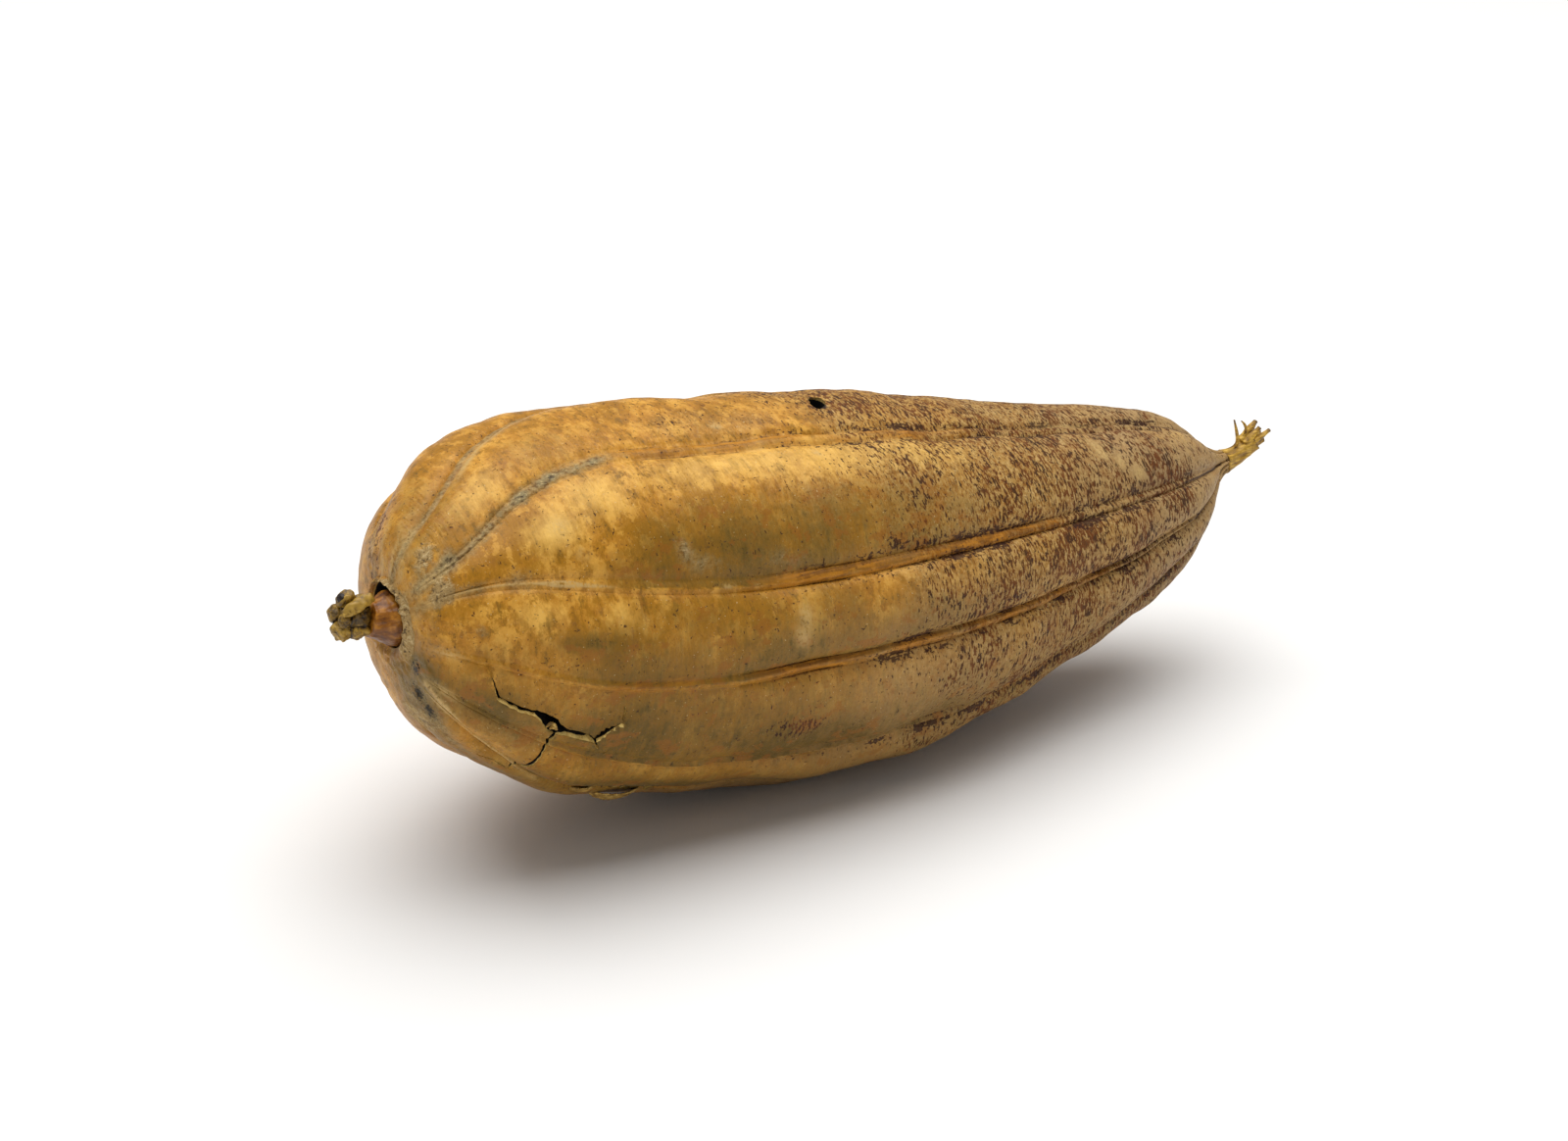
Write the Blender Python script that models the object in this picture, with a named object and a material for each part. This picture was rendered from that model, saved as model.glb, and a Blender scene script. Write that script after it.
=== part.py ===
"""Dried jinga pod: a ten-ribbed gourd fruit that lies on its side.

The blossom end is at -X and the stalk end at +X. Four solids make it up: the ribbed pod body
with its cracks and its insect hole, the cap that plugs the blossom end, the withered flower
on that cap, and the frayed stalk. Units are metres and +Z is up. The pod rests on z = 0 on
two small flats worn on its lowest lobes.
"""

import math

import bmesh
import bpy
import numpy as np
from mathutils import Vector

# Pod body: its length, and its radius over the lobes at shares of the length from the blossom
# end. A spline over the sweep angle t joins them, where the share is (1 - cos t) / 2.
BODY_LENGTH = 0.165
RADIUS_STATIONS = (
    (0.0, 0.0069),
    (0.038, 0.0186),
    (0.146, 0.0278),
    (0.309, 0.0308),
    (0.5, 0.0303),
    (0.691, 0.0241),
    (0.854, 0.0172),
    (0.92, 0.0121),
    (0.965, 0.0057),
    (1.0, 0.0023),
)

# Centre line of the body: its height at mid length, how far it falls towards the stalk, how
# far its middle sags, how far it sways sideways, and how its blossom end turns to the front
AXIS_HEIGHT = 0.0377
AXIS_FALL = 0.0113
AXIS_SAG = 0.0088
AXIS_SWAY = 0.0012
END_TURN = 0.0077
END_DROP = 0.0018
END_TURN_SHARE = 0.25

# The ten valleys between lobes, in degrees around the body: 0 is +Y, 90 is up and 180 is the
# front. Each row gives one valley's angle at the shares of the length in VALLEY_STATIONS.
VALLEY_STATIONS = (0.0, 0.05, 0.10, 0.18, 0.50, 0.72, 0.95)
VALLEY_ANGLES = (
    (57, 52, 46, 42, 39, 38, 38),
    (101, 98.5, 88, 77, 73.5, 73, 73),
    (133, 130.5, 122, 116, 113.5, 110, 106),
    (147, 149, 152.5, 157.5, 155.5, 153, 153),
    (178, 181, 184.5, 186.5, 181, 180.5, 175),
    (205, 208, 212, 217, 217, 212, 198),
    (214, 227, 237, 240, 239, 236, 232),
    (255, 260, 266, 271, 272, 270, 268),
    (300, 304, 307, 310, 312, 309, 306),
    (350, 351, 352, 353, 354, 354, 354),
)
VALLEY_DEPTH = 0.0018
VALLEY_SHARES = (1.0, 1.05, 0.75, 0.95, 1.1, 1.0, 0.9, 1.0, 1.0, 1.0)
VALLEY_FADE = 0.015
LOBE_FULLNESS = 0.6
FULL_RADIUS = 0.0300
# Swellings on the lobes: share of the length, degrees around, height, and the spread in each
SWELLS = (
    (0.60, 60, 0.0008, 0.10, 14),
    (0.16, 245, 0.0006, 0.06, 16),
    (0.37, 280, 0.0009, 0.08, 28),
)

# The smooth cord along the floor of each valley, as a share of the lobe's width on each side
CORD_SHARE = 0.062
CORD_HEIGHT = 0.00045

# Blossom end: the socket that holds the cap, set high in the body's end disc, with its rim
SOCKET_RADIUS = 0.0048
SOCKET_DEPTH = 0.0030
SOCKET_SIDE = 0.0002
SOCKET_RISE = 0.0018
RIM_HEIGHT = 0.0006
RIM_LIP = 0.0004

# Cap: a cone in the socket, clear of its wall and floor, that narrows to a neck. Its profile
# gives shares of its radius at distances out from the socket's mouth.
GAP = 0.0003
CAP_RADIUS = 0.0041
CAP_DROP = 0.0003
CAP_SINK = SOCKET_DEPTH - GAP
NECK_RADIUS = 0.0026
NECK_REACH = 0.0032
NECK_RISE = 0.0007
CAP_PROFILE = (
    (-CAP_SINK, 1.0),
    (0.0, 1.0),
    (0.0007, 0.93),
    (0.0015, 0.80),
    (0.0024, 0.69),
    (NECK_REACH, NECK_RADIUS / CAP_RADIUS),
)

# Withered flower: a knobbly stub on the cap's neck, leaning upwards. It starts at a share of
# its full radius and grows to all of it over its foot.
FLOWER_LENGTH = 0.0055
FLOWER_RADIUS = 0.0024
FLOWER_START = 0.86
FLOWER_FOOT = 0.16
FLOWER_ROWS = (0, 0.06, 0.16, 0.28, 0.4, 0.52, 0.64, 0.76, 0.86, 0.94, 0.985)
LEAN_DEG = 13.0
# Each knob: share of the stub's length, degrees around it, height, and spread as an angle
KNOBS = (
    (0.52, 100, 0.0012, 0.50),
    (0.86, 205, 0.0013, 0.55),
    (0.66, 262, 0.0013, 0.60),
    (0.34, 165, 0.0008, 0.45),
    (0.22, 250, 0.0007, 0.50),
    (0.60, 20, 0.0012, 0.55),
    (0.30, 330, 0.0009, 0.55),
)

# Stalk: a fluted stub that bends upwards and frays into strands
STALK_LENGTH = 0.0072
STALK_RADII = ((0.0, 0.0023), (0.25, 0.0019), (0.5, 0.00175), (1.0, 0.0020))
STALK_START_DEG = 8.0
STALK_END_DEG = 34.0
STALK_FLUTES = 5
FLUTE_DEPTH = 0.12
# Each strand: degrees around the stalk's top, how far it stands out, and its outward lean.
# Its foot stands on a ring inside the stalk, some way below the top.
STRANDS = (
    (75, 0.0028, 0.0004),
    (140, 0.0022, 0.0006),
    (200, 0.0034, 0.0005),
    (262, 0.0018, 0.0009),
    (320, 0.0030, 0.0006),
    (20, 0.0024, 0.0003),
)
STRAND_RADIUS = 0.0006
STRAND_RING = 0.0011
STRAND_SINK = 0.0018
# Each fibre: the share of the stalk's length where it stands, and its route as steps from its
# foot, which is FIBRE_RISE above the stalk's middle
FIBRES = (
    (0.50, ((0, 0, 0), (0.0002, -0.0004, 0.0018), (-0.00075, -0.0003, 0.0054))),
    (0.75, ((0, 0, 0), (0.0008, -0.0001, 0.0018), (0.0006, 0, 0.0031), (-0.0002, 0.0001, 0.0039))),
)
FIBRE_RADIUS = 0.0003
FIBRE_RISE = 0.0010
STRAND_TIP = 0.7

# Cracks in the rind, each a path of (share of length, degrees around, width), their depth,
# and how much narrower they are at the bottom
CRACK_DEPTH = 0.0035
CRACK_TAPER = 0.7
MAIN_CRACK = (
    (0.043, 187, 0.0004),
    (0.048, 196, 0.0005),
    (0.064, 198, 0.0007),
    (0.079, 197.8, 0.0013),
    (0.088, 200.8, 0.0020),
    (0.095, 203, 0.0020),
    (0.103, 204.2, 0.0013),
    (0.118, 205.3, 0.0010),
    (0.133, 206.7, 0.0007),
    (0.143, 202.5, 0.0006),
    (0.156, 199.3, 0.0004),
)
CROSS_CRACK = (
    (0.095, 203.5, 0.0008),
    (0.094, 212, 0.0005),
    (0.089, 226, 0.0005),
    (0.082, 239, 0.0004),
)
LOWER_CRACK = (
    (0.128, 238, 0.0005),
    (0.142, 239.5, 0.0012),
    (0.158, 240.5, 0.0020),
    (0.172, 241.5, 0.0013),
    (0.188, 242.5, 0.0018),
    (0.206, 245, 0.0018),
    (0.222, 246.5, 0.0014),
    (0.240, 246, 0.0008),
    (0.265, 246, 0.0004),
)

# Insect hole: an oval, longer around the body than along it
HOLE_SHARE = 0.457
HOLE_DEG = 97.0
HOLE_HALF_WIDTH = 0.0011
HOLE_HALF_LENGTH = 0.0020
HOLE_DEPTH = 0.0030
HOLE_SIDES = 14
# How far the cutters for the cracks and the hole stand out of the skin
CUTTER_RISE = 0.0020

# Mesh fineness of the body: rows along it, and where a lobe's columns stand across the lobe
BODY_ROWS = 44
LOBE_COLUMNS = (0.0, 0.062, 0.13, 0.24, 0.38, 0.5, 0.62, 0.76, 0.87, 0.938)


def clear_scene():
    """Remove every object that is in the scene."""
    for thing in list(bpy.data.objects):
        bpy.data.objects.remove(thing, do_unlink=True)


def plain_material(name, color, roughness):
    """Make a dull material of one colour."""
    material = bpy.data.materials.new(name)
    material.use_nodes = True
    shader = material.node_tree.nodes["Principled BSDF"]
    shader.inputs["Base Color"].default_value = (*color, 1.0)
    shader.inputs["Roughness"].default_value = roughness
    shader.inputs["Metallic"].default_value = 0.0
    return material


def mesh_object(name, points, faces, material=None):
    """Put points and faces into a smooth-shaded object whose faces point outwards."""
    mesh = bpy.data.meshes.new(name)
    mesh.from_pydata([tuple(map(float, point)) for point in points], [], faces)
    work = bmesh.new()
    work.from_mesh(mesh)
    bmesh.ops.recalc_face_normals(work, faces=work.faces)
    work.to_mesh(mesh)
    work.free()
    mesh.shade_smooth()
    if material:
        mesh.materials.append(material)
    thing = bpy.data.objects.new(name, mesh)
    bpy.context.scene.collection.objects.link(thing)
    return thing


def lofted_faces(rows, columns):
    """Join rings of points into a skin, closed by a fan at each end point."""
    faces = []
    for row in range(rows - 1):
        for column in range(columns):
            after = (column + 1) % columns
            low, high = row * columns, (row + 1) * columns
            faces.append((low + column, low + after, high + after, high + column))
    first, last = rows * columns, rows * columns + 1
    top = (rows - 1) * columns
    for column in range(columns):
        after = (column + 1) % columns
        faces.append((first, after, column))
        faces.append((last, top + column, top + after))
    return faces


def loft(name, rings, material=None):
    """Make a closed solid from an array of rings, each an array of points."""
    rows, columns, _ = rings.shape
    ends = np.array([rings[0].mean(axis=0), rings[-1].mean(axis=0)])
    points = np.concatenate([rings.reshape(-1, 3), ends])
    return mesh_object(name, points, lofted_faces(rows, columns), material)


def natural_spline(knots, values, at):
    """Read a natural cubic spline through values at knots, at each of the places in at."""
    knots, values, at = (np.asarray(part, float) for part in (knots, values, at))
    gap = np.diff(knots)
    slope = np.diff(values) / gap
    system = np.eye(len(knots))
    right = np.zeros(len(knots))
    for k in range(1, len(knots) - 1):
        system[k, k - 1:k + 2] = gap[k - 1], 2 * (gap[k - 1] + gap[k]), gap[k]
        right[k] = 6 * (slope[k] - slope[k - 1])
    bend = np.linalg.solve(system, right)
    k = np.clip(np.searchsorted(knots, at, side="right") - 1, 0, len(knots) - 2)
    before = (knots[k + 1] - at) / gap[k]
    after = 1 - before
    curve = (before**3 - before) * bend[k] + (after**3 - after) * bend[k + 1]
    return before * values[k] + after * values[k + 1] + curve * gap[k] ** 2 / 6


def sweep_of(share):
    """Turn a share of the body's length into its sweep angle."""
    return np.arccos(np.clip(1 - 2 * np.asarray(share, float), -1, 1))


def envelope_radius(sweep):
    """Radius over the lobes' crests at a sweep angle."""
    shares, radii = zip(*RADIUS_STATIONS)
    return natural_spline(sweep_of(shares), radii, sweep)


def centre_line(share):
    """Middle of the body at a share of its length, as points."""
    share = np.asarray(share, float)
    middle = 2 * share - 1
    bow = 1 - middle**2
    turn = np.clip(1 - share / END_TURN_SHARE, 0, 1) ** 2
    x = (share - 0.5) * BODY_LENGTH
    y = -AXIS_SWAY * middle * bow - END_TURN * turn
    z = AXIS_HEIGHT - AXIS_FALL * (share - 0.5) - AXIS_SAG * bow - END_DROP * turn
    return np.stack([x, y, z], axis=-1)


def valley_angles(sweep):
    """Angles of all the valleys in degrees at each sweep angle, one column for each."""
    knots = sweep_of(VALLEY_STATIONS)
    return np.stack([natural_spline(knots, row, sweep) for row in VALLEY_ANGLES], axis=-1)


def lobed_radius(sweep, lobe, place):
    """Radius at a place from 0 to 1 across a lobe: a full curve between two corded valleys.

    The valley is deepest at the cord's edges, a fullness power of a parabola lifts the lobe
    from there, and the cord is a low bump centred on the valley.
    """
    radius = envelope_radius(sweep)
    depth = VALLEY_DEPTH * np.sqrt(np.clip(radius / FULL_RADIUS, 0, 1))
    depth = depth * (1 - np.exp(-(1 - np.cos(sweep)) / 2 / VALLEY_FADE))
    shares = np.array(VALLEY_SHARES)
    depth = depth * ((1 - place) * shares[lobe] + place * shares[(lobe + 1) % len(shares)])
    edge = np.minimum(place, 1 - place)
    inside = np.clip((edge - CORD_SHARE) / (0.5 - CORD_SHARE), 0, 1) / 2
    fullness = (4 * inside * (1 - inside)) ** LOBE_FULLNESS
    cord = CORD_HEIGHT * np.clip(1 - (edge / CORD_SHARE) ** 2, 0, 1) ** 2
    return radius - depth * (1 - fullness) + cord * depth / VALLEY_DEPTH


def swelling(share, degrees):
    """Extra radius from the swellings, each a smooth bell over the skin."""
    extra = np.zeros(np.broadcast(share, degrees).shape)
    for middle, turn, height, along, around in SWELLS:
        apart = (degrees - turn + 180) % 360 - 180
        extra = extra + height * np.exp(-((share - middle) / along) ** 2 - (apart / around) ** 2)
    return extra


def lobe_angle(angles, lobe, place):
    """Angle in degrees of a place across a lobe, with the last lobe closing the circle."""
    turns = np.concatenate([angles, angles[..., :1] + 360], axis=-1)
    return turns[..., lobe] * (1 - place) + turns[..., lobe + 1] * place


def ring_around(centre, radius, degrees):
    """Points at a radius and angles around a centre, in a plane square to X."""
    turn = np.radians(degrees)
    flat = np.zeros_like(turn)
    return centre + np.stack([flat, radius * np.cos(turn), radius * np.sin(turn)], axis=-1)


def surface_point(share, degrees):
    """Point on the body's skin at a share of its length and an angle around it."""
    sweep = float(sweep_of(share))
    angles = valley_angles(sweep)
    turns = np.append(angles, angles[0] + 360)
    degrees = angles[0] + (degrees - angles[0]) % 360
    lobe = int(np.clip(np.searchsorted(turns, degrees, side="right") - 1, 0, len(angles) - 1))
    place = (degrees - turns[lobe]) / (turns[lobe + 1] - turns[lobe])
    radius = lobed_radius(sweep, lobe, place) + swelling(share, degrees)
    return Vector(ring_around(centre_line(share), radius, degrees))


def outward(share, degrees):
    """Direction that points out of the skin there, from two small steps over the skin."""
    step = 0.004
    along = surface_point(share + step, degrees) - surface_point(share - step, degrees)
    around = surface_point(share, degrees + 2) - surface_point(share, degrees - 2)
    return around.cross(along).normalized()


def body_rings():
    """Rings of the body from the socket's floor over its rim to the stalk end."""
    sweep = np.linspace(0, math.pi, BODY_ROWS)
    angles = valley_angles(sweep)
    columns = [(lobe, place) for lobe in range(len(VALLEY_ANGLES)) for place in LOBE_COLUMNS]
    degrees = np.stack([lobe_angle(angles, *column) for column in columns], axis=1)
    radius = np.stack([lobed_radius(sweep, *column) for column in columns], axis=1)
    share = (1 - np.cos(sweep)) / 2
    radius = radius + swelling(share[:, None], degrees)
    skin = ring_around(centre_line(share)[:, None, :], radius, degrees)

    socket = socket_centre()
    mouth = ring_around(socket, SOCKET_RADIUS, degrees[0])
    crest = (skin[0] + 2 * mouth) / 3 - (RIM_HEIGHT, 0, 0)
    floor = socket + (SOCKET_DEPTH, 0, 0)
    rings = np.concatenate(
        [
            [ring_around(floor, SOCKET_RADIUS / 2, degrees[0])],
            [ring_around(floor, SOCKET_RADIUS, degrees[0])],
            [mouth - (RIM_LIP, 0, 0)],
            [crest],
            skin,
        ]
    )
    rings[..., 2] = np.maximum(rings[..., 2], 0)
    return rings


def socket_centre():
    """Middle of the socket's mouth."""
    return centre_line(0.0) + (0, SOCKET_SIDE, SOCKET_RISE)


def cutter(thing):
    """Mark an object as a tool that only shows as wires."""
    thing.hide_render = True
    thing.display_type = "WIRE"
    return thing


def crack_cutter(name, path):
    """Wedge that follows a crack over the skin and reaches under it."""
    centres = [surface_point(share, degrees) for share, degrees, _ in path]
    rings = []
    for k, (share, degrees, width) in enumerate(path):
        out = outward(share, degrees)
        ahead = centres[min(k + 1, len(path) - 1)] - centres[max(k - 1, 0)]
        side = out.cross(ahead).normalized() * width / 2
        top = centres[k] + out * CUTTER_RISE
        low = centres[k] - out * CRACK_DEPTH
        rings.append([top + side, top - side, low - side * CRACK_TAPER, low + side * CRACK_TAPER])
    return cutter(loft(name, np.array(rings)))


def hole_cutter():
    """Straight oval tool for the insect hole."""
    out = outward(HOLE_SHARE, HOLE_DEG)
    around = out.cross(Vector((1, 0, 0))).normalized()
    along = around.cross(out)
    turns = np.linspace(0, 2 * math.pi, HOLE_SIDES, endpoint=False)
    oval = [
        along * math.cos(turn) * HOLE_HALF_WIDTH + around * math.sin(turn) * HOLE_HALF_LENGTH
        for turn in turns
    ]
    point = surface_point(HOLE_SHARE, HOLE_DEG)
    rings = [[point + out * reach + spot for spot in oval] for reach in (-HOLE_DEPTH, CUTTER_RISE)]
    return cutter(loft("hole_cutter", np.array(rings)))


def cut_away(thing, tool):
    """Subtract a tool, whose own faces may cross where its path turns sharply."""
    modifier = thing.modifiers.new("cut by " + tool.name, "BOOLEAN")
    modifier.operation = "DIFFERENCE"
    modifier.solver = "EXACT"
    modifier.use_self = True
    modifier.object = tool


def make_pod_body():
    """Ribbed body with its socket, two cracks, the crack that crosses one, and the hole."""
    rind = plain_material("rind", (0.42, 0.25, 0.09), 0.55)
    body = loft("pod_body", body_rings(), rind)
    cut_away(body, crack_cutter("main_crack_cutter", MAIN_CRACK))
    cut_away(body, crack_cutter("cross_crack_cutter", CROSS_CRACK))
    cut_away(body, crack_cutter("lower_crack_cutter", LOWER_CRACK))
    cut_away(body, hole_cutter())
    return body


def tilted_rings(centres, radii, leans, degrees):
    """Rings around points, each tipped up by a lean in degrees, facing -X when it is 0."""
    turn = np.radians(degrees)
    rings = []
    for centre, radius, lean in zip(centres, radii, leans):
        tip = math.radians(lean)
        side = np.array([0.0, 1.0, 0.0])
        up = np.array([math.sin(tip), 0.0, math.cos(tip)])
        radius = np.broadcast_to(radius, turn.shape)[:, None]
        rings.append(centre + radius * (np.cos(turn)[:, None] * side + np.sin(turn)[:, None] * up))
    return np.array(rings)


def lean_direction():
    """Direction that the withered flower leans in."""
    lean = math.radians(LEAN_DEG)
    return np.array([-math.cos(lean), 0.0, math.sin(lean)])


def cap_base():
    """Middle of the cap where it leaves the socket."""
    return socket_centre() + (0, 0, -CAP_DROP)


def make_blossom_cap():
    """Plug in the socket that swells out as a cone and narrows to its neck."""
    reaches, swell = np.array(CAP_PROFILE).T
    share = np.clip(reaches / NECK_REACH, 0, 1)
    centres = cap_base() + np.outer(reaches, (-1, 0, 0)) + np.outer(share**2, (0, 0, NECK_RISE))
    rings = tilted_rings(centres, CAP_RADIUS * swell, LEAN_DEG * share**2, np.arange(0, 360, 15))
    return loft("blossom_cap", rings, plain_material("blossom_cap", (0.27, 0.12, 0.04), 0.5))


def make_flower_remnant():
    """Knobbly stub: a short rounded core with a bump of its own size at each knob."""
    degrees = np.arange(0, 360, 15)
    shares = np.array(FLOWER_ROWS)
    start = cap_base() + (-NECK_REACH, 0, NECK_RISE) + lean_direction() * GAP
    centres = start + np.outer(shares * FLOWER_LENGTH, lean_direction())
    across, along = np.meshgrid(np.radians(degrees), shares)
    close = np.sqrt(np.clip(1 - np.clip((along - 0.5) / 0.5, 0, 1) ** 3, 0, 1))
    foot = np.clip(along / FLOWER_FOOT, 0, 1)
    radius = FLOWER_RADIUS * close * (FLOWER_START + (1 - FLOWER_START) * foot)
    for share, turn, height, spread in KNOBS:
        apart = (across - math.radians(turn) + math.pi) % (2 * math.pi) - math.pi
        reach = (along - share) * FLOWER_LENGTH / FLOWER_RADIUS
        radius = radius + height * foot * close * np.exp(-(apart**2 + reach**2) / spread**2)
    leans = [LEAN_DEG] * len(shares)
    rings = tilted_rings(centres, radius, leans, degrees)
    flower = plain_material("withered_flower", (0.20, 0.13, 0.035), 0.7)
    return loft("flower_remnant", rings, flower)


def stalk_line(shares):
    """Middle of the stalk at shares of its length, and its lean there in radians."""
    shares = np.asarray(shares, float)
    lean = np.radians(STALK_START_DEG + (STALK_END_DEG - STALK_START_DEG) * shares)
    steps = np.diff(shares, prepend=0.0) * STALK_LENGTH
    start = centre_line(1.0) + (GAP, 0, 0)
    x = start[0] + np.cumsum(steps * np.cos(lean))
    z = start[2] + np.cumsum(steps * np.sin(lean))
    return np.stack([x, np.full_like(x, start[1]), z], axis=-1), lean


def stalk_stem():
    """Fluted tube of the stalk, from its flared root, upright on the body, to where it frays."""
    shares = np.linspace(0, 1, 9)
    centres, lean = stalk_line(shares)
    lean[0] = 0.0
    turn = np.radians(np.arange(0, 360, 18))
    knots, radii = zip(*STALK_RADII)
    radius = natural_spline(knots, radii, shares)
    flute = 1 - FLUTE_DEPTH * (0.5 - 0.5 * np.cos(STALK_FLUTES * turn))
    rings = []
    for centre, tip, size in zip(centres, lean, radius):
        up = np.array([-math.sin(tip), 0.0, math.cos(tip)])
        ring = np.outer(np.cos(turn) * flute, (0, 1, 0)) + np.outer(np.sin(turn) * flute, up)
        rings.append(centre + size * ring)
    return loft("stalk", np.array(rings))


def strand(name, start, route, radius, sides=6):
    """Thin strand from a start through steps from it, with a blunt tip."""
    centres = np.array([start + np.array(step) for step in route])
    turn = np.linspace(0, 2 * math.pi, sides, endpoint=False)
    rings = []
    for k, centre in enumerate(centres):
        ahead = Vector(centres[min(k + 1, len(centres) - 1)] - centres[max(k - 1, 0)]).normalized()
        side = ahead.cross(Vector((0, 1, 0))).normalized()
        over = side.cross(ahead)
        size = radius * (1 if k < len(centres) - 1 else STRAND_TIP)
        rings.append([centre + size * np.array(side * math.cos(a) + over * math.sin(a)) for a in turn])
    return loft(name, np.array(rings))


def stalk_strands():
    """Frayed ends that fan out of the stalk's top, and two thin fibres that stand up."""
    ends, leans = stalk_line((0.0, *(share for share, _ in FIBRES), 1.0))
    top, lean = ends[-1], leans[-1]
    ahead = np.array([math.cos(lean), 0.0, math.sin(lean)])
    up = np.array([-math.sin(lean), 0.0, math.cos(lean)])
    side = np.array([0.0, 1.0, 0.0])
    made = []
    for k, (turn, reach, lean_out) in enumerate(STRANDS):
        spot = side * math.cos(math.radians(turn)) + up * math.sin(math.radians(turn))
        foot = top + spot * STRAND_RING - ahead * STRAND_SINK
        tip = ahead * (STRAND_SINK + reach) + spot * lean_out
        route = (0 * ahead, ahead * (STRAND_SINK + GAP), tip)
        made.append(strand(f"strand_{k}", foot, route, STRAND_RADIUS))
    for k, (_, route) in enumerate(FIBRES):
        made.append(strand(f"fibre_{k}", ends[k + 1] + up * FIBRE_RISE, route, FIBRE_RADIUS, 5))
    return made


def make_stalk():
    """Stalk with its strands joined to it as one solid."""
    stem = stalk_stem()
    stem.data.materials.append(plain_material("stalk", (0.40, 0.25, 0.07), 0.6))
    pieces = bpy.data.collections.new("stalk strands")
    bpy.context.scene.collection.children.link(pieces)
    for piece in stalk_strands():
        bpy.context.scene.collection.objects.unlink(piece)
        pieces.objects.link(piece)
        cutter(piece)
    join = stem.modifiers.new("joined strands", "BOOLEAN")
    join.operation = "UNION"
    join.operand_type = "COLLECTION"
    join.collection = pieces
    join.solver = "EXACT"
    bpy.context.view_layer.update()
    joined = bpy.data.meshes.new_from_object(stem.evaluated_get(bpy.context.evaluated_depsgraph_get()))
    stem.modifiers.remove(join)
    stem.data = joined
    for piece in list(pieces.objects):
        bpy.data.objects.remove(piece, do_unlink=True)
    bpy.data.collections.remove(pieces)
    return stem


def main():
    """Build the whole pod."""
    clear_scene()
    make_pod_body()
    make_blossom_cap()
    make_flower_remnant()
    make_stalk()


main()
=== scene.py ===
"""Looks of the dried jinga pod: rind, blossom end, stalk, torn flakes and a soft studio.

Units are metres and degrees. The pod lies along X with its blossom end at -X and rests on z = 0.
A place on its skin is a share of its length from the blossom end and an angle around its centre
line, where 0 is +Y, 90 is up and 180 is the front.
"""

import logging
import math
from dataclasses import dataclass
from enum import Enum

import bpy
import numpy as np
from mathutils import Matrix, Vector


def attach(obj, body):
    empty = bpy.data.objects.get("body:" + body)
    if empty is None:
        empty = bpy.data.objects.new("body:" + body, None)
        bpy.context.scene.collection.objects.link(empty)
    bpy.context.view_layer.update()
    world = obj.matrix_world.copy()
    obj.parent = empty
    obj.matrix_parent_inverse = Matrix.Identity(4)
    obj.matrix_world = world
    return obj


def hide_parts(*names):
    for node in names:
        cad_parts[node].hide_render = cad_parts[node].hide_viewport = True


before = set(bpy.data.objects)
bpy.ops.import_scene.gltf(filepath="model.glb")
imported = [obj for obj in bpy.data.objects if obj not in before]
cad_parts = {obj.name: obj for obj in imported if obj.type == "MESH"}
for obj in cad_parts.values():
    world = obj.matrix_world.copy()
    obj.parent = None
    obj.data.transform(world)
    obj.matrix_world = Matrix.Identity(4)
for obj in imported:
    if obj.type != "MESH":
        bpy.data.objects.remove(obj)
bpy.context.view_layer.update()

log = logging.getLogger("pod")

BODY = "root"
MM = 0.001
STALK_GAP = 0.0003

Array = np.ndarray
Colour = tuple[float, float, float]
Path = tuple[tuple[float, float], ...]
Rows = tuple[tuple[float, ...], ...]


class Slot(Enum):
    """Material slots of the part."""

    RIND = "rind"
    CAP = "cap"
    FLOWER = "flower"
    STALK = "stalk"


def rgb(red: float, green: float, blue: float) -> Colour:
    """Turn a colour given in 0 to 255 on a screen into linear light."""
    linear = [((part / 255 + 0.055) / 1.055) ** 2.4 for part in (red, green, blue)]
    return linear[0], linear[1], linear[2]


def smooth(low: float, high: float, value: Array) -> Array:
    """Rise from 0 at low to 1 at high along 3t^2 - 2t^3, where t is the share of the way."""
    t = np.clip((value - low) / (high - low), 0, 1)
    return t * t * (3 - 2 * t)


def bell(value: Array, width: float) -> Array:
    """Fall from 1 at 0 along exp(-(value / width)^2)."""
    return np.exp(-((value / width) ** 2))


def band(value: Array, rise: tuple[float, float], fall: tuple[float, float]) -> Array:
    """Rise smoothly from 0 to 1 over the first range and fall back to 0 over the second."""
    return smooth(*rise, value) * smooth(fall[1], fall[0], value)


def unit(vectors: Array) -> Array:
    """Scale each vector to length 1."""
    return vectors / np.linalg.norm(vectors, axis=-1, keepdims=True)


def full_turn(count: int) -> Array:
    """Angles in even steps round one turn, from 0."""
    return np.linspace(0, 2 * math.pi, count, endpoint=False)


def walked_along(path: Array) -> Array:
    """Distance walked along a polyline up to each of its corners."""
    return np.concatenate([[0], np.cumsum(np.linalg.norm(np.diff(path, axis=0), axis=1))])


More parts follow.
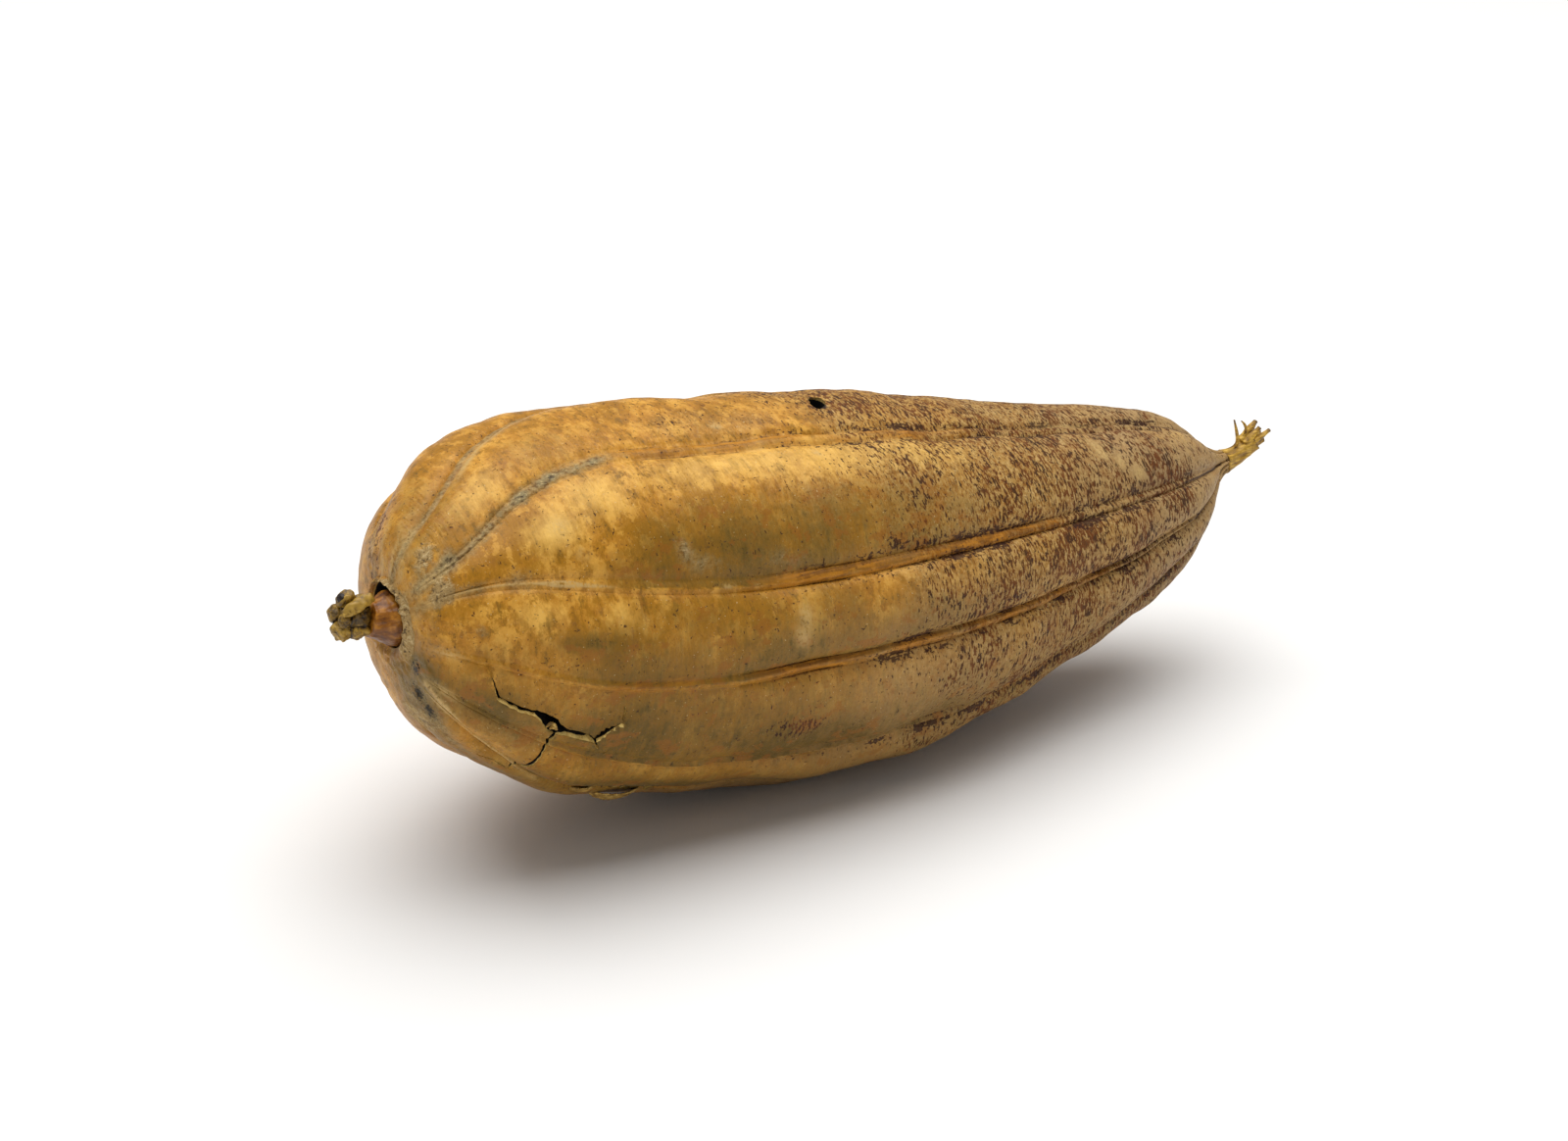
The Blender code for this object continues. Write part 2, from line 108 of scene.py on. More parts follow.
def natural_spline(knots: Array, values: Array, at: Array) -> Array:
    """Read a natural cubic spline.

    Between two knots the curve is the straight line plus (s^3 - s) times the bend at each end,
    where s is the share of the way to that end and the bends make the slope continuous.

    Args:
        knots: Where the values are given, in rising order.
        values: The value at each knot.
        at: Where to read the spline.

    Returns:
        The value at each place in at.
    """
    knots, values, at = (np.asarray(part, float) for part in (knots, values, at))
    gap = np.diff(knots)
    slope = np.diff(values) / gap
    system = np.eye(len(knots))
    right = np.zeros(len(knots))
    for k in range(1, len(knots) - 1):
        system[k, k - 1:k + 2] = gap[k - 1], 2 * (gap[k - 1] + gap[k]), gap[k]
        right[k] = 6 * (slope[k] - slope[k - 1])
    bend = np.linalg.solve(system, right)
    k = np.clip(np.searchsorted(knots, at, side="right") - 1, 0, len(knots) - 2)
    before = (knots[k + 1] - at) / gap[k]
    after = 1 - before
    curve = (before**3 - before) * bend[k] + (after**3 - after) * bend[k + 1]
    return before * values[k] + after * values[k + 1] + curve * gap[k] ** 2 / 6


def spline_path(corners: Array, count: int) -> Array:
    """Points on a natural spline through corners, which divide it into equal shares."""
    knots, share = np.linspace(0, 1, len(corners)), np.linspace(0, 1, count)
    return np.stack([natural_spline(knots, corners[:, axis], share) for axis in range(3)], axis=-1)


@dataclass(frozen=True)
class Waves:
    """Smooth random field: many cosine waves of random direction, length and phase.

    Attributes:
        seed: Seed of the random choices.
        shortest: Shortest wavelength.
        longest: Longest wavelength.
        stretch: How many times longer the waves are along X, Y and Z.
        count: How many waves are summed.
    """

    seed: int
    shortest: float
    longest: float
    stretch: tuple[float, float, float] = (1.0, 1.0, 1.0)
    count: int = 40

    def at(self, points: Array) -> Array:
        """Read the field: sqrt(2 / n) times the sum of cos(k . point + phase).

        Args:
            points: Any array of points.

        Returns:
            A value for each point, with mean 0 and spread 1.
        """
        random = np.random.default_rng(self.seed)
        direction = unit(random.normal(size=(self.count, 3)))
        length = np.exp(random.uniform(math.log(self.shortest), math.log(self.longest), self.count))
        wave = 2 * math.pi * direction / length[:, None] / np.array(self.stretch)
        phase = random.uniform(0, 2 * math.pi, self.count)
        return math.sqrt(2 / self.count) * np.cos(points @ wave.T + phase).sum(axis=-1)


def distance_to_path(points: Array, path: Array, reach: float) -> tuple[Array, Array]:
    """Find how far each point is from a polyline, and where on it.

    On each piece the nearest point is start + t * step, where t is the point's projection on
    the step, clipped to 0 and 1.

    Args:
        points: Points, one row each.
        path: Corners of the polyline.
        reach: The greatest distance that matters.

    Returns:
        The distance to the nearest piece and no more than reach, and the number of that piece,
        which is 0 beyond the reach.
    """
    low, high = path.min(axis=0) - reach, path.max(axis=0) + reach
    near = np.all((points > low) & (points < high), axis=1)
    step = np.diff(path, axis=0)
    away = points[near][:, None] - path[:-1]
    t = np.clip((away * step).sum(axis=-1) / (step**2).sum(axis=-1), 0, 1)
    gap = np.linalg.norm(away - t[..., None] * step, axis=-1)
    distance, piece = np.full(len(points), reach), np.zeros(len(points), int)
    distance[near] = np.minimum(gap.min(axis=1), reach)
    piece[near] = gap.argmin(axis=1)
    return distance, piece


@dataclass
class Shell:
    """A closed surface made of one grid of rings, each ring joined to the next and to itself.

    Attributes:
        rings: Points, as rings by columns by 3.
    """

    rings: Array

    def arrays(self) -> tuple[Array, Array, Array]:
        """Work out the points and the faces, with a fan at each end, facing out.

        The volume is the sum over faces of a . (b x c) / 6. Where that is negative, every face
        is turned round.

        Returns:
            The points, the four-sided faces and the triangles of the fans.
        """
        rows, columns, _ = self.rings.shape
        ends = np.array([self.rings[0].mean(axis=0), self.rings[-1].mean(axis=0)])
        points = np.concatenate([self.rings.reshape(-1, 3), ends])
        row, column = np.meshgrid(np.arange(rows - 1), np.arange(columns), indexing="ij")
        after = (column + 1) % columns
        low, high = row * columns, (row + 1) * columns
        quads = np.stack([low + column, low + after, high + after, high + column], axis=-1)
        quads = quads.reshape(-1, 4)
        around = np.arange(columns)
        ahead = (around + 1) % columns
        first = np.stack([np.full(columns, rows * columns), ahead, around], axis=-1)
        top = (rows - 1) * columns
        last = np.stack([np.full(columns, rows * columns + 1), top + around, top + ahead], axis=-1)
        fans = np.concatenate([first, last])
        corners = np.concatenate([quads[:, :3], quads[:, [0, 2, 3]], fans])
        a, b, c = (points[corners[:, k]] for k in range(3))
        if (a * np.cross(b, c)).sum() < 0:
            quads, fans = quads[:, ::-1], fans[:, ::-1]
        return points, quads, fans


def mesh_of(name: str, shells: list[Shell]) -> bpy.types.Mesh:
    """Put closed surfaces into one smooth-shaded mesh.

    Args:
        name: Name of the mesh.
        shells: The closed surfaces.

    Returns:
        The new mesh.
    """
    points, quads, fans = [], [], []
    count = 0
    for shell in shells:
        shell_points, shell_quads, shell_fans = shell.arrays()
        points.append(shell_points)
        quads.append(shell_quads + count)
        fans.append(shell_fans + count)
        count += len(shell_points)
    quads, fans = np.concatenate(quads), np.concatenate(fans)
    corners = np.concatenate([quads.ravel(), fans.ravel()]).astype(np.int32)
    sizes = np.concatenate([np.full(len(quads), 4), np.full(len(fans), 3)]).astype(np.int32)
    mesh = bpy.data.meshes.new(name)
    mesh.vertices.add(count)
    mesh.vertices.foreach_set("co", np.concatenate(points).astype(np.float32).ravel())
    mesh.loops.add(len(corners))
    mesh.loops.foreach_set("vertex_index", corners)
    mesh.polygons.add(len(sizes))
    mesh.polygons.foreach_set("loop_start", np.cumsum(sizes, dtype=np.int32) - sizes)
    mesh.update(calc_edges=True)
    mesh.shade_smooth()
    return mesh


def points_of(mesh: bpy.types.Mesh) -> Array:
    """Read a mesh's points as one array."""
    flat = np.empty(len(mesh.vertices) * 3, np.float32)
    mesh.vertices.foreach_get("co", flat)
    return flat.reshape(-1, 3).astype(float)


def write_layers(mesh: bpy.types.Mesh, layers: dict[str, Array]) -> None:
    """Store one number for each point of a mesh under each name."""
    for name, values in layers.items():
        layer = mesh.attributes.new(name, "FLOAT", "POINT")
        layer.data.foreach_set("value", values.astype(np.float32))


def placed(name: str, data: bpy.types.ID) -> bpy.types.Object:
    """Make an object from its data and add it to the scene."""
    thing = bpy.data.objects.new(name, data)
    bpy.context.scene.collection.objects.link(thing)
    return thing


def add_piece(
    mesh: bpy.types.Mesh, material: bpy.types.Material, replaced: str | None = None
) -> bpy.types.Object:
    """Show a mesh as a piece that rides on the pod.

    Args:
        mesh: The piece's mesh, which also names it.
        material: Its finish.
        replaced: The solid that it stands for, if any.

    Returns:
        The piece.
    """
    mesh.materials.clear()
    mesh.materials.append(material)
    piece = placed(mesh.name, mesh)
    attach(piece, BODY)
    if replaced:
        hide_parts(replaced)
    mesh.calc_loop_triangles()
    log.info("%s: %d triangles", piece.name, len(mesh.loop_triangles))
    return piece


def tube(path: Array, radius: Array, turns: Array, beside: Array) -> Array:
    """Carry a ring along a path.

    A ring's point is centre + radius * (cos(turn) * side + sin(turn) * over), where side is
    square to the path and to the guide, and over is square to both.

    Args:
        path: Centres, one for each ring.
        radius: One radius for each ring, or one for each ring and turn.
        turns: Angles around the ring in radians.
        beside: The guide direction, never along the path.

    Returns:
        Rings by turns by 3.
    """
    ahead = unit(np.gradient(path, axis=0))
    side = unit(np.cross(ahead, beside))
    over = np.cross(side, ahead)
    each = radius if np.ndim(radius) == 2 else radius[:, None]
    spread = np.broadcast_to(each, (len(path), len(turns)))
    cosine, sine = np.cos(turns)[None, :, None], np.sin(turns)[None, :, None]
    flat = cosine * side[:, None] + sine * over[:, None]
    return path[:, None] + spread[..., None] * flat


class Channel:
    """A number in a shader that changes over the surface. Arithmetic on it adds Math nodes."""

    def __init__(self, recipe: "Recipe", socket: bpy.types.NodeSocket) -> None:
        """Wrap an output socket of a recipe."""
        self.recipe = recipe
        self.socket = socket

    def __add__(self, other: "Channel | float") -> "Channel":
        """Add a number or another channel."""
        return self.recipe.math("ADD", self, other)

    def __sub__(self, other: "Channel | float") -> "Channel":
        """Take away a number or another channel."""
        return self.recipe.math("SUBTRACT", self, other)

    def __rsub__(self, other: float) -> "Channel":
        """Take this channel away from a number."""
        return self.recipe.math("SUBTRACT", other, self)

    def __mul__(self, other: "Channel | float") -> "Channel":
        """Multiply by a number or another channel."""
        return self.recipe.math("MULTIPLY", self, other)

    __radd__ = __add__
    __rmul__ = __mul__

    def step(self, low: float, high: float) -> "Channel":
        """Rise smoothly from 0 where the channel is low to 1 where it is high."""
        limits = {"Value": self, "From Min": low, "From Max": high}
        node = self.recipe.node("ShaderNodeMapRange", {"interpolation_type": "SMOOTHSTEP"}, limits)
        return Channel(self.recipe, node.outputs["Result"])


Feed = Channel | float | tuple[float, ...] | bpy.types.NodeSocket


class Recipe:
    """A material that is being built, with its shader at the end."""

    def __init__(self, name: str, specular: float = 0.5) -> None:
        """Begin a material with a shader, its output and the place that noises are read at.

        Args:
            name: Name of the material.
            specular: How strongly the surface shines.
        """
        self.material = bpy.data.materials.new(name)
        self.material.use_nodes = True
        self.tree = self.material.node_tree
        self.tree.nodes.clear()
        self.place = self.node("ShaderNodeTexCoord", {}, {}).outputs["Object"]
        self.shader = self.node("ShaderNodeBsdfPrincipled", {}, {"Specular IOR Level": specular})
        self.node("ShaderNodeOutputMaterial", {}, {"Surface": self.shader.outputs["BSDF"]})

    def node(self, kind: str, settings: dict[str, object], feeds: dict[str | int, Feed]) -> bpy.types.Node:
        """Add one node.

        Args:
            kind: The node's type.
            settings: Its properties, which are set first.
            feeds: For each socket, by name or number, the value or link that goes in.

        Returns:
            The new node.
        """
        node = self.tree.nodes.new(kind)
        for name, value in settings.items():
            setattr(node, name, value)
        for key, feed in feeds.items():
            self.connect(node.inputs[key], feed)
        return node

    def connect(self, socket: bpy.types.NodeSocket, feed: Feed) -> None:
        """Give a socket a link or a value."""
        if isinstance(feed, Channel):
            feed = feed.socket
        if isinstance(feed, bpy.types.NodeSocket):
            self.tree.links.new(feed, socket)
        elif isinstance(feed, tuple) and len(socket.default_value) == 4:
            socket.default_value = (*feed, 1.0)
        else:
            socket.default_value = feed

    def math(self, operation: str, first: Feed, second: Feed) -> Channel:
        """Add a Math node on two numbers."""
        node = self.node("ShaderNodeMath", {"operation": operation}, {0: first, 1: second})
        return Channel(self, node.outputs["Value"])

    def layer(self, name: str) -> Channel:
        """Read a number that is stored on the piece's points."""
        node = self.node("ShaderNodeAttribute", {"attribute_name": name}, {})
        return Channel(self, node.outputs["Fac"])

    def noise(self, sizes: tuple[float, float, float], detail: float = 2.0, rough: float = 0.55) -> Channel:
        """Noise over the piece, about 0.5 in the middle.

        Args:
            sizes: How long its spots are along X, Y and Z, in metres.
            detail: How many finer layers are added.
            rough: How strong the finer layers are.

        Returns:
            The noise.
        """
        scale = tuple(1 / size for size in sizes)
        place = self.node("ShaderNodeVectorMath", {"operation": "MULTIPLY"}, {0: self.place, 1: scale})
        feeds = {"Vector": place.outputs["Vector"], "Scale": 1.0, "Detail": detail, "Roughness": rough}
        node = self.node("ShaderNodeTexNoise", {}, feeds)
        return Channel(self, node.outputs["Fac"])

    def blend(self, under: Feed, over: Feed, share: Channel | float) -> bpy.types.NodeSocket:
        """Lay a colour over another by a share from 0 to 1."""
        feeds = {0: share, 6: under, 7: over}
        node = self.node("ShaderNodeMix", {"data_type": "RGBA", "clamp_factor": True}, feeds)
        return node.outputs[2]

    def finish(self, colour: Feed, roughness: Feed, height: Channel) -> bpy.types.Material:
        """Feed the shader.

        Args:
            colour: Base colour.
            roughness: Roughness.
            height: Height of the fine relief in millimetres.

        Returns:
            The finished material.
        """
        bump = self.node("ShaderNodeBump", {}, {"Strength": 1.0, "Distance": MM, "Height": height})
        self.connect(self.shader.inputs["Base Color"], colour)
        self.connect(self.shader.inputs["Roughness"], roughness)
        self.connect(self.shader.inputs["Normal"], bump.outputs["Normal"])
        return self.material


class Coats:
    """A colour that is built up in coats, each laid over the last by a share."""

    def __init__(self, recipe: Recipe, ground: Feed) -> None:
        """Begin with the lowest colour."""
        self.recipe = recipe
        self.colour = ground

    def lay(self, over: Feed, share: Channel | float) -> None:
        """Lay a colour over what is there, by a share from 0 to 1."""
        self.colour = self.recipe.blend(self.colour, over, share)


class RindGrains:
    """Noises that the coats of the rind share, from broad to fine."""

    def __init__(self, made: Recipe) -> None:
        """Make each noise in a recipe."""
        self.broad = made.noise((0.013, 0.013, 0.013), 2)
        self.blotch = made.noise((0.0040, 0.0052, 0.0052), 4, 0.62)
        self.mottle = made.noise((0.0020, 0.0028, 0.0028), 5, 0.72)
        self.patch = made.noise((0.0014, 0.0019, 0.0019), 4, 0.65)
        self.crumbs = made.noise((0.0008, 0.00055, 0.00055), 3, 0.65)
        self.grain = made.noise((0.00040, 0.00060, 0.00060), 2, 0.6)
        self.streak = made.noise((0.0006, 0.0070, 0.0070), 3, 0.65)


@dataclass(frozen=True)
class RindFinish:
    """Dry rind: satin gold at the blossom end that turns to matte, flecked tan at the stalk."""

    gold: Colour = rgb(192, 132, 40)
    peach: Colour = rgb(226, 168, 70)
    ochre: Colour = rgb(164, 112, 22)
    olive: Colour = rgb(104, 80, 26)
    tan: Colour = rgb(168, 131, 72)
    sand: Colour = rgb(199, 164, 104)
    brown: Colour = rgb(118, 80, 32)
    fleck: Colour = rgb(56, 26, 8)
    ember: Colour = rgb(58, 28, 16)
    cord: Colour = rgb(186, 120, 26)
    cord_dark: Colour = rgb(134, 84, 20)
    dust: Colour = rgb(146, 130, 92)
    soot: Colour = rgb(80, 66, 46)
    straw: Colour = rgb(216, 190, 138)
    mauve: Colour = rgb(112, 82, 60)
    cream: Colour = rgb(222, 190, 112)
    crust: Colour = rgb(172, 140, 88)
    bleached: Colour = rgb(204, 170, 108)
    # warm colour of the painted highlights
    painted_highlight: Colour = rgb(242, 192, 96)
    amber: Colour = rgb(150, 92, 26)
    ash: Colour = rgb(172, 142, 98)
    rust: Colour = rgb(108, 56, 12)
    # near black: painted shade inside the cracks and the insect hole, also laid on the black spots
    hollow: Colour = rgb(16, 12, 9)
    specular: float = 0.2

    def material(self) -> bpy.types.Material:
        """Build the rind's material from the layers that are stored on the skin."""
        made = Recipe("rind", self.specular)
        grains = RindGrains(made)
        patch, grain, crumbs = grains.patch, grains.grain, grains.crumbs
        matte, dust = made.layer("matte"), made.layer("dust")
        coats = Coats(made, self.gold)
        self.lay_satin(coats, grains)
        self.lay_dry(coats, grains, matte)
        self.lay_stains(coats, grains)
        marks = self.lay_flecks(coats)
        embers, rut = self.lay_cords(coats, grains)
        self.lay_dust(coats, grains, dust)
        crust, char = self.lay_crust(coats, grains)
        open_rind = self.lay_cracks(coats, grains)

        roughness = 0.40 + 0.18 * matte + 0.12 * marks + 0.25 * dust + 0.12 * (grain - 0.5)
        roughness = roughness + 0.3 * open_rind + 0.25 * crust
        height = 0.13 * grains.streak * (1 - 0.3 * matte) + 0.12 * patch + (0.04 + 0.13 * matte) * grain
        height = height - 0.05 * marks - 0.08 * embers - 0.08 * rut
        height = height + (0.35 * dust + 0.45 * crust) * crumbs - 0.15 * char
        return made.finish(coats.colour, roughness, height)

    def lay_satin(self, coats: Coats, grains: RindGrains) -> None:
        """Mottle the fresh gold with peach, ochre, brown and olive."""
        blotch, patch, streak, mottle = grains.blotch, grains.patch, grains.streak, grains.mottle
        coats.lay(self.peach, (blotch + 0.6 * patch).step(0.76, 0.98) * 0.9)
        coats.lay(self.ochre, (0.6 * grains.broad + 0.4 * patch).step(0.47, 0.60) * 0.85)
        coats.lay(self.brown, (blotch + 0.5 * patch + 0.3 * streak).step(0.84, 0.66) * 0.65)
        coats.lay(self.brown, (0.6 * patch + 0.4 * grains.grain).step(0.45, 0.36) * 0.5)
        coats.lay(self.ochre, mottle.step(0.50, 0.44) * 0.7)
        coats.lay(self.olive, (0.7 * mottle + 0.3 * streak).step(0.45, 0.37) * 0.55)
        coats.lay(self.peach, mottle.step(0.53, 0.60) * 0.55)

    def lay_dry(self, coats: Coats, grains: RindGrains, matte: Channel) -> None:
        """Turn to mottled tan where the rind is matte."""
        patch, grain, mottle = grains.patch, grains.grain, grains.mottle
        dry = Coats(coats.recipe, self.tan)
        dry.lay(self.sand, (0.6 * grain + 0.4 * grains.streak).step(0.49, 0.60) * 0.9)
        dry.lay(self.brown, (patch + 0.8 * grain).step(0.84, 0.68) * 0.7)
        dry.lay(self.amber, (0.5 * mottle + 0.5 * grain).step(0.49, 0.42) * 0.55)
        dry.lay(self.brown, mottle.step(0.45, 0.36) * 0.45)
        dry.lay(self.sand, mottle.step(0.54, 0.66) * 0.45)
        coats.lay(dry.colour, (matte + 0.7 * (patch - 0.5)) * matte.step(0.0, 0.15))

    def lay_stains(self, coats: Coats, grains: RindGrains) -> None:
        """Fade the rind and paint light bounced from the floor on its lower edge, paint highlights and shade
        over it, and stain it, where its layers say so.
        """
        made, patch, streak, mottle = coats.recipe, grains.patch, grains.streak, grains.mottle
        # faded grey near the stalk, and painted light bounced from the floor on the front and lower edge
        coats.lay(self.ash, made.layer("faded_and_painted_bounce") * (0.4 + 0.5 * patch))
        bright, painted_shade_and_tone = made.layer("bright"), made.layer("painted_shade_and_tone")
        # painted highlights and pools of light on the lit upper sides of the lobes
        painted_glow = bright + 1.1 * (mottle - 0.5) + 0.7 * (streak - 0.5)
        coats.lay(self.painted_highlight, painted_glow * bright.step(0.0, 0.2))
        # painted shade: olive laid over the lower side of each lobe and underneath, mixed with the olive tone
        # there
        painted_shade_and_tone_mask = painted_shade_and_tone + 1.3 * (mottle - 0.5) + 0.8 * (patch - 0.5) + 0.6 * (streak - 0.5)
        coats.lay(self.olive, painted_shade_and_tone_mask * painted_shade_and_tone.step(0.0, 0.2))
        tawny = made.noise((0.0036, 0.0030, 0.0030), 4, 0.65).step(0.54, 0.62)
        coats.lay(self.amber, tawny * (0.20 + 0.35 * painted_shade_and_tone.step(0.0, 0.4)))
        coats.lay(self.mauve, made.layer("mauve") * grains.grain.step(0.35, 0.6))

    def lay_flecks(self, coats: Coats) -> Channel:
        """Add dark dashes in clusters, and pale specks that are partly painted glints, and return where the
        dashes are.
        """
        made = coats.recipe
        strokes = made.noise((0.00040, 0.00110, 0.00110), 3, 0.62)
        cluster = made.noise((0.0018, 0.0024, 0.0024), 3, 0.6)
        dense = made.layer("dash") * (0.150 + 0.090 * cluster)
        marks = (strokes - 0.03 + dense).step(0.650, 0.672)
        tint = made.blend(self.rust, self.fleck, (cluster + strokes).step(1.0, 1.2))
        coats.lay(tint, marks * 0.92)
        # pale specks, partly painted glints of light
        pale_specks_and_glints = made.noise((0.00035, 0.00035, 0.00035), 1)
        coats.lay(self.straw, pale_specks_and_glints.step(0.745, 0.775) * 0.7)
        return marks

    def lay_cords(self, coats: Coats, grains: RindGrains) -> tuple[Channel, Channel]:
        """Add the fibrous cords, and return where their crumbs and dark lines are."""
        made, patch, crumbs = coats.recipe, grains.patch, grains.crumbs
        strands = made.noise((0.012, 0.0006, 0.0006), 2)
        fibrous = made.blend(self.cord, self.cord_dark, (0.6 * strands + 0.4 * patch).step(0.42, 0.58))
        cord, line = made.layer("cord"), made.layer("rut")
        coats.lay(fibrous, (cord + 0.6 * (patch - 0.5)) * cord.step(0.0, 0.3))
        embers = (crumbs + 0.2 * made.layer("border")).step(0.66, 0.70)
        coats.lay(self.ember, embers * 0.85)
        rut = (line + 0.9 * (crumbs - 0.5)).step(0.25, 0.75)
        coats.lay(self.ember, rut * line.step(0.0, 0.2) * 0.85)
        return embers, rut

    def lay_dust(self, coats: Coats, grains: RindGrains, dust: Channel) -> None:
        """Add grey crumbly dust and pale bleached streaks."""
        made, crumbs = coats.recipe, grains.crumbs
        ashes = Coats(made, made.blend(self.soot, self.dust, crumbs.step(0.38, 0.50)))
        ashes.lay(self.straw, crumbs.step(0.56, 0.66) * 0.7)
        coats.lay(ashes.colour, (dust + 0.9 * (grains.patch - 0.5)) * dust.step(0.0, 0.2))
        coats.lay(self.bleached, made.layer("pale") * grains.grain.step(0.25, 0.55))

    def lay_crust(self, coats: Coats, grains: RindGrains) -> tuple[Channel, Channel]:
        """Add the flaky crust and the charred spots, and return where both are."""
        made, patch, crumbs = coats.recipe, grains.patch, grains.crumbs
        scab, burnt = made.layer("crust"), made.layer("char")
        flaky = Coats(made, self.crust)
        flaky.lay(self.straw, crumbs.step(0.50, 0.64) * 0.8)
        flaky.lay(self.soot, (0.6 * crumbs + 0.4 * patch).step(0.46, 0.40) * 0.85)
        crust = (scab + 1.1 * (patch - 0.5)).step(0.25, 0.65) * scab.step(0.0, 0.2)
        coats.lay(flaky.colour, crust)
        char = (burnt + 2.2 * (crumbs - 0.5)).step(0.40, 0.62) * burnt.step(0.0, 0.3)
        coats.lay(self.hollow, char * 0.9)
        return crust, char

    def lay_cracks(self, coats: Coats, grains: RindGrains) -> Channel:
        """Show cream walls where the rind is cut, paint shade that blackens the insides of the cuts and of
        the insect hole, and return where it is.
        """
        made, patch, grain = coats.recipe, grains.patch, grains.grain
        depth, bored, painted_crack_shade = made.layer("depth"), made.layer("bored"), made.layer("painted_crack_shade")
        # painted shade: black inside the insect hole
        coats.lay(self.hollow, (bored + 0.8 * (grains.crumbs - 0.5)).step(0.5, 0.75) * 0.95)
        wall = Coats(made, self.cream)
        wall.lay(self.ochre, grain.step(0.5, 0.62) * 0.5)
        wall.lay(self.rust, bored)
        # painted shade: the cut walls turn black further down
        wall.lay(self.hollow, (depth + 0.4 * (patch - 0.5) + 0.7 * painted_crack_shade).step(0.66, 0.80))
        cut = depth.step(0.05, 0.10)
        coats.lay(wall.colour, cut)
        return cut


@dataclass(frozen=True)
class DryTissueFinish:
    """Dry plant tissue in three tones, the darkest also laid as painted shade, with fibres or grains of a
    given size.

    Attributes:
        name: Name of the material.
        light: Tone of its raised fibres.
        middle: Its main tone.
        dark: Colour of the painted shade in its creases, recesses and gaps, and of its own dark spots.
        grain: How long its grains are along X, Y and Z.
        roughness: Its mean roughness.
        relief: Height of its fine relief in millimetres.
        specular: How strongly it mirrors light.
    """

    name: str
    light: Colour
    middle: Colour
    dark: Colour
    grain: tuple[float, float, float]
    roughness: float = 0.6
    relief: float = 0.12
    specular: float = 0.4

    def material(self) -> bpy.types.Material:
        """Build the material, dark where the piece's crease layer is 1 and pale where it is -1; the dark is
        mostly painted shade.
        """
        made = Recipe(self.name, self.specular)
        fibre = made.noise(self.grain, 3, 0.6)
        patch = made.noise((0.0016, 0.0016, 0.0016), 3)
        crease = made.layer("crease")
        colour = made.blend(self.middle, self.light, (fibre + 0.6 * patch).step(0.78, 0.98))
        colour = made.blend(colour, self.dark, (fibre + 0.5 * patch).step(0.72, 0.55) * 0.8)
        colour = made.blend(colour, self.light, (0.0 - crease) * (0.6 + 0.5 * fibre))
        colour = made.blend(colour, self.dark, crease)
        roughness = self.roughness + 0.25 * (fibre - 0.5)
        return made.finish(colour, roughness, self.relief * fibre + 0.6 * self.relief * patch)


def dress(
    name: str,
    parts: list[tuple[Array, Array]],
    finish: DryTissueFinish,
    replaced: str | None = None,
) -> None:
    """Turn parts into one piece of dry tissue.

    Args:
        name: Name of the piece.
        parts: For each part its rings, and how dark each point is, mostly painted shade.
        finish: The finish.
        replaced: The solid that the piece stands for, if any.
    """
    mesh = mesh_of(name, [Shell(rings) for rings, _ in parts])
    # how dark each point is: mostly painted shade in creases, recesses and gaps
    dark = [np.append(painted_shade_and_tone.ravel(), [painted_shade_and_tone[0].mean(), painted_shade_and_tone[-1].mean()]) for _, painted_shade_and_tone in parts]
    write_layers(mesh, {"crease": np.concatenate(dark)})
    add_piece(mesh, finish.material(), replaced)


@dataclass
class Spots:
    """Places on the skin, as arrays with one entry for each place.

    Attributes:
        share: Share of the pod's length.
        degrees: Angle around the centre line.
        lobe: Number of the lobe.
        place: Place from 0 to 1 across that lobe.
        radius: Radius of the plain form there.
        points: Point on the plain form there.
        beside: Distance to the nearest valley, along the skin.
        valley: Number of that valley.
        width: Width of the lobe.
        hollow: How far the plain form lies below the lobes' crests there.
    """

    share: Array
    degrees: Array
    lobe: Array
    place: Array
    radius: Array
    points: Array
    beside: Array
    valley: Array
    width: Array
    hollow: Array


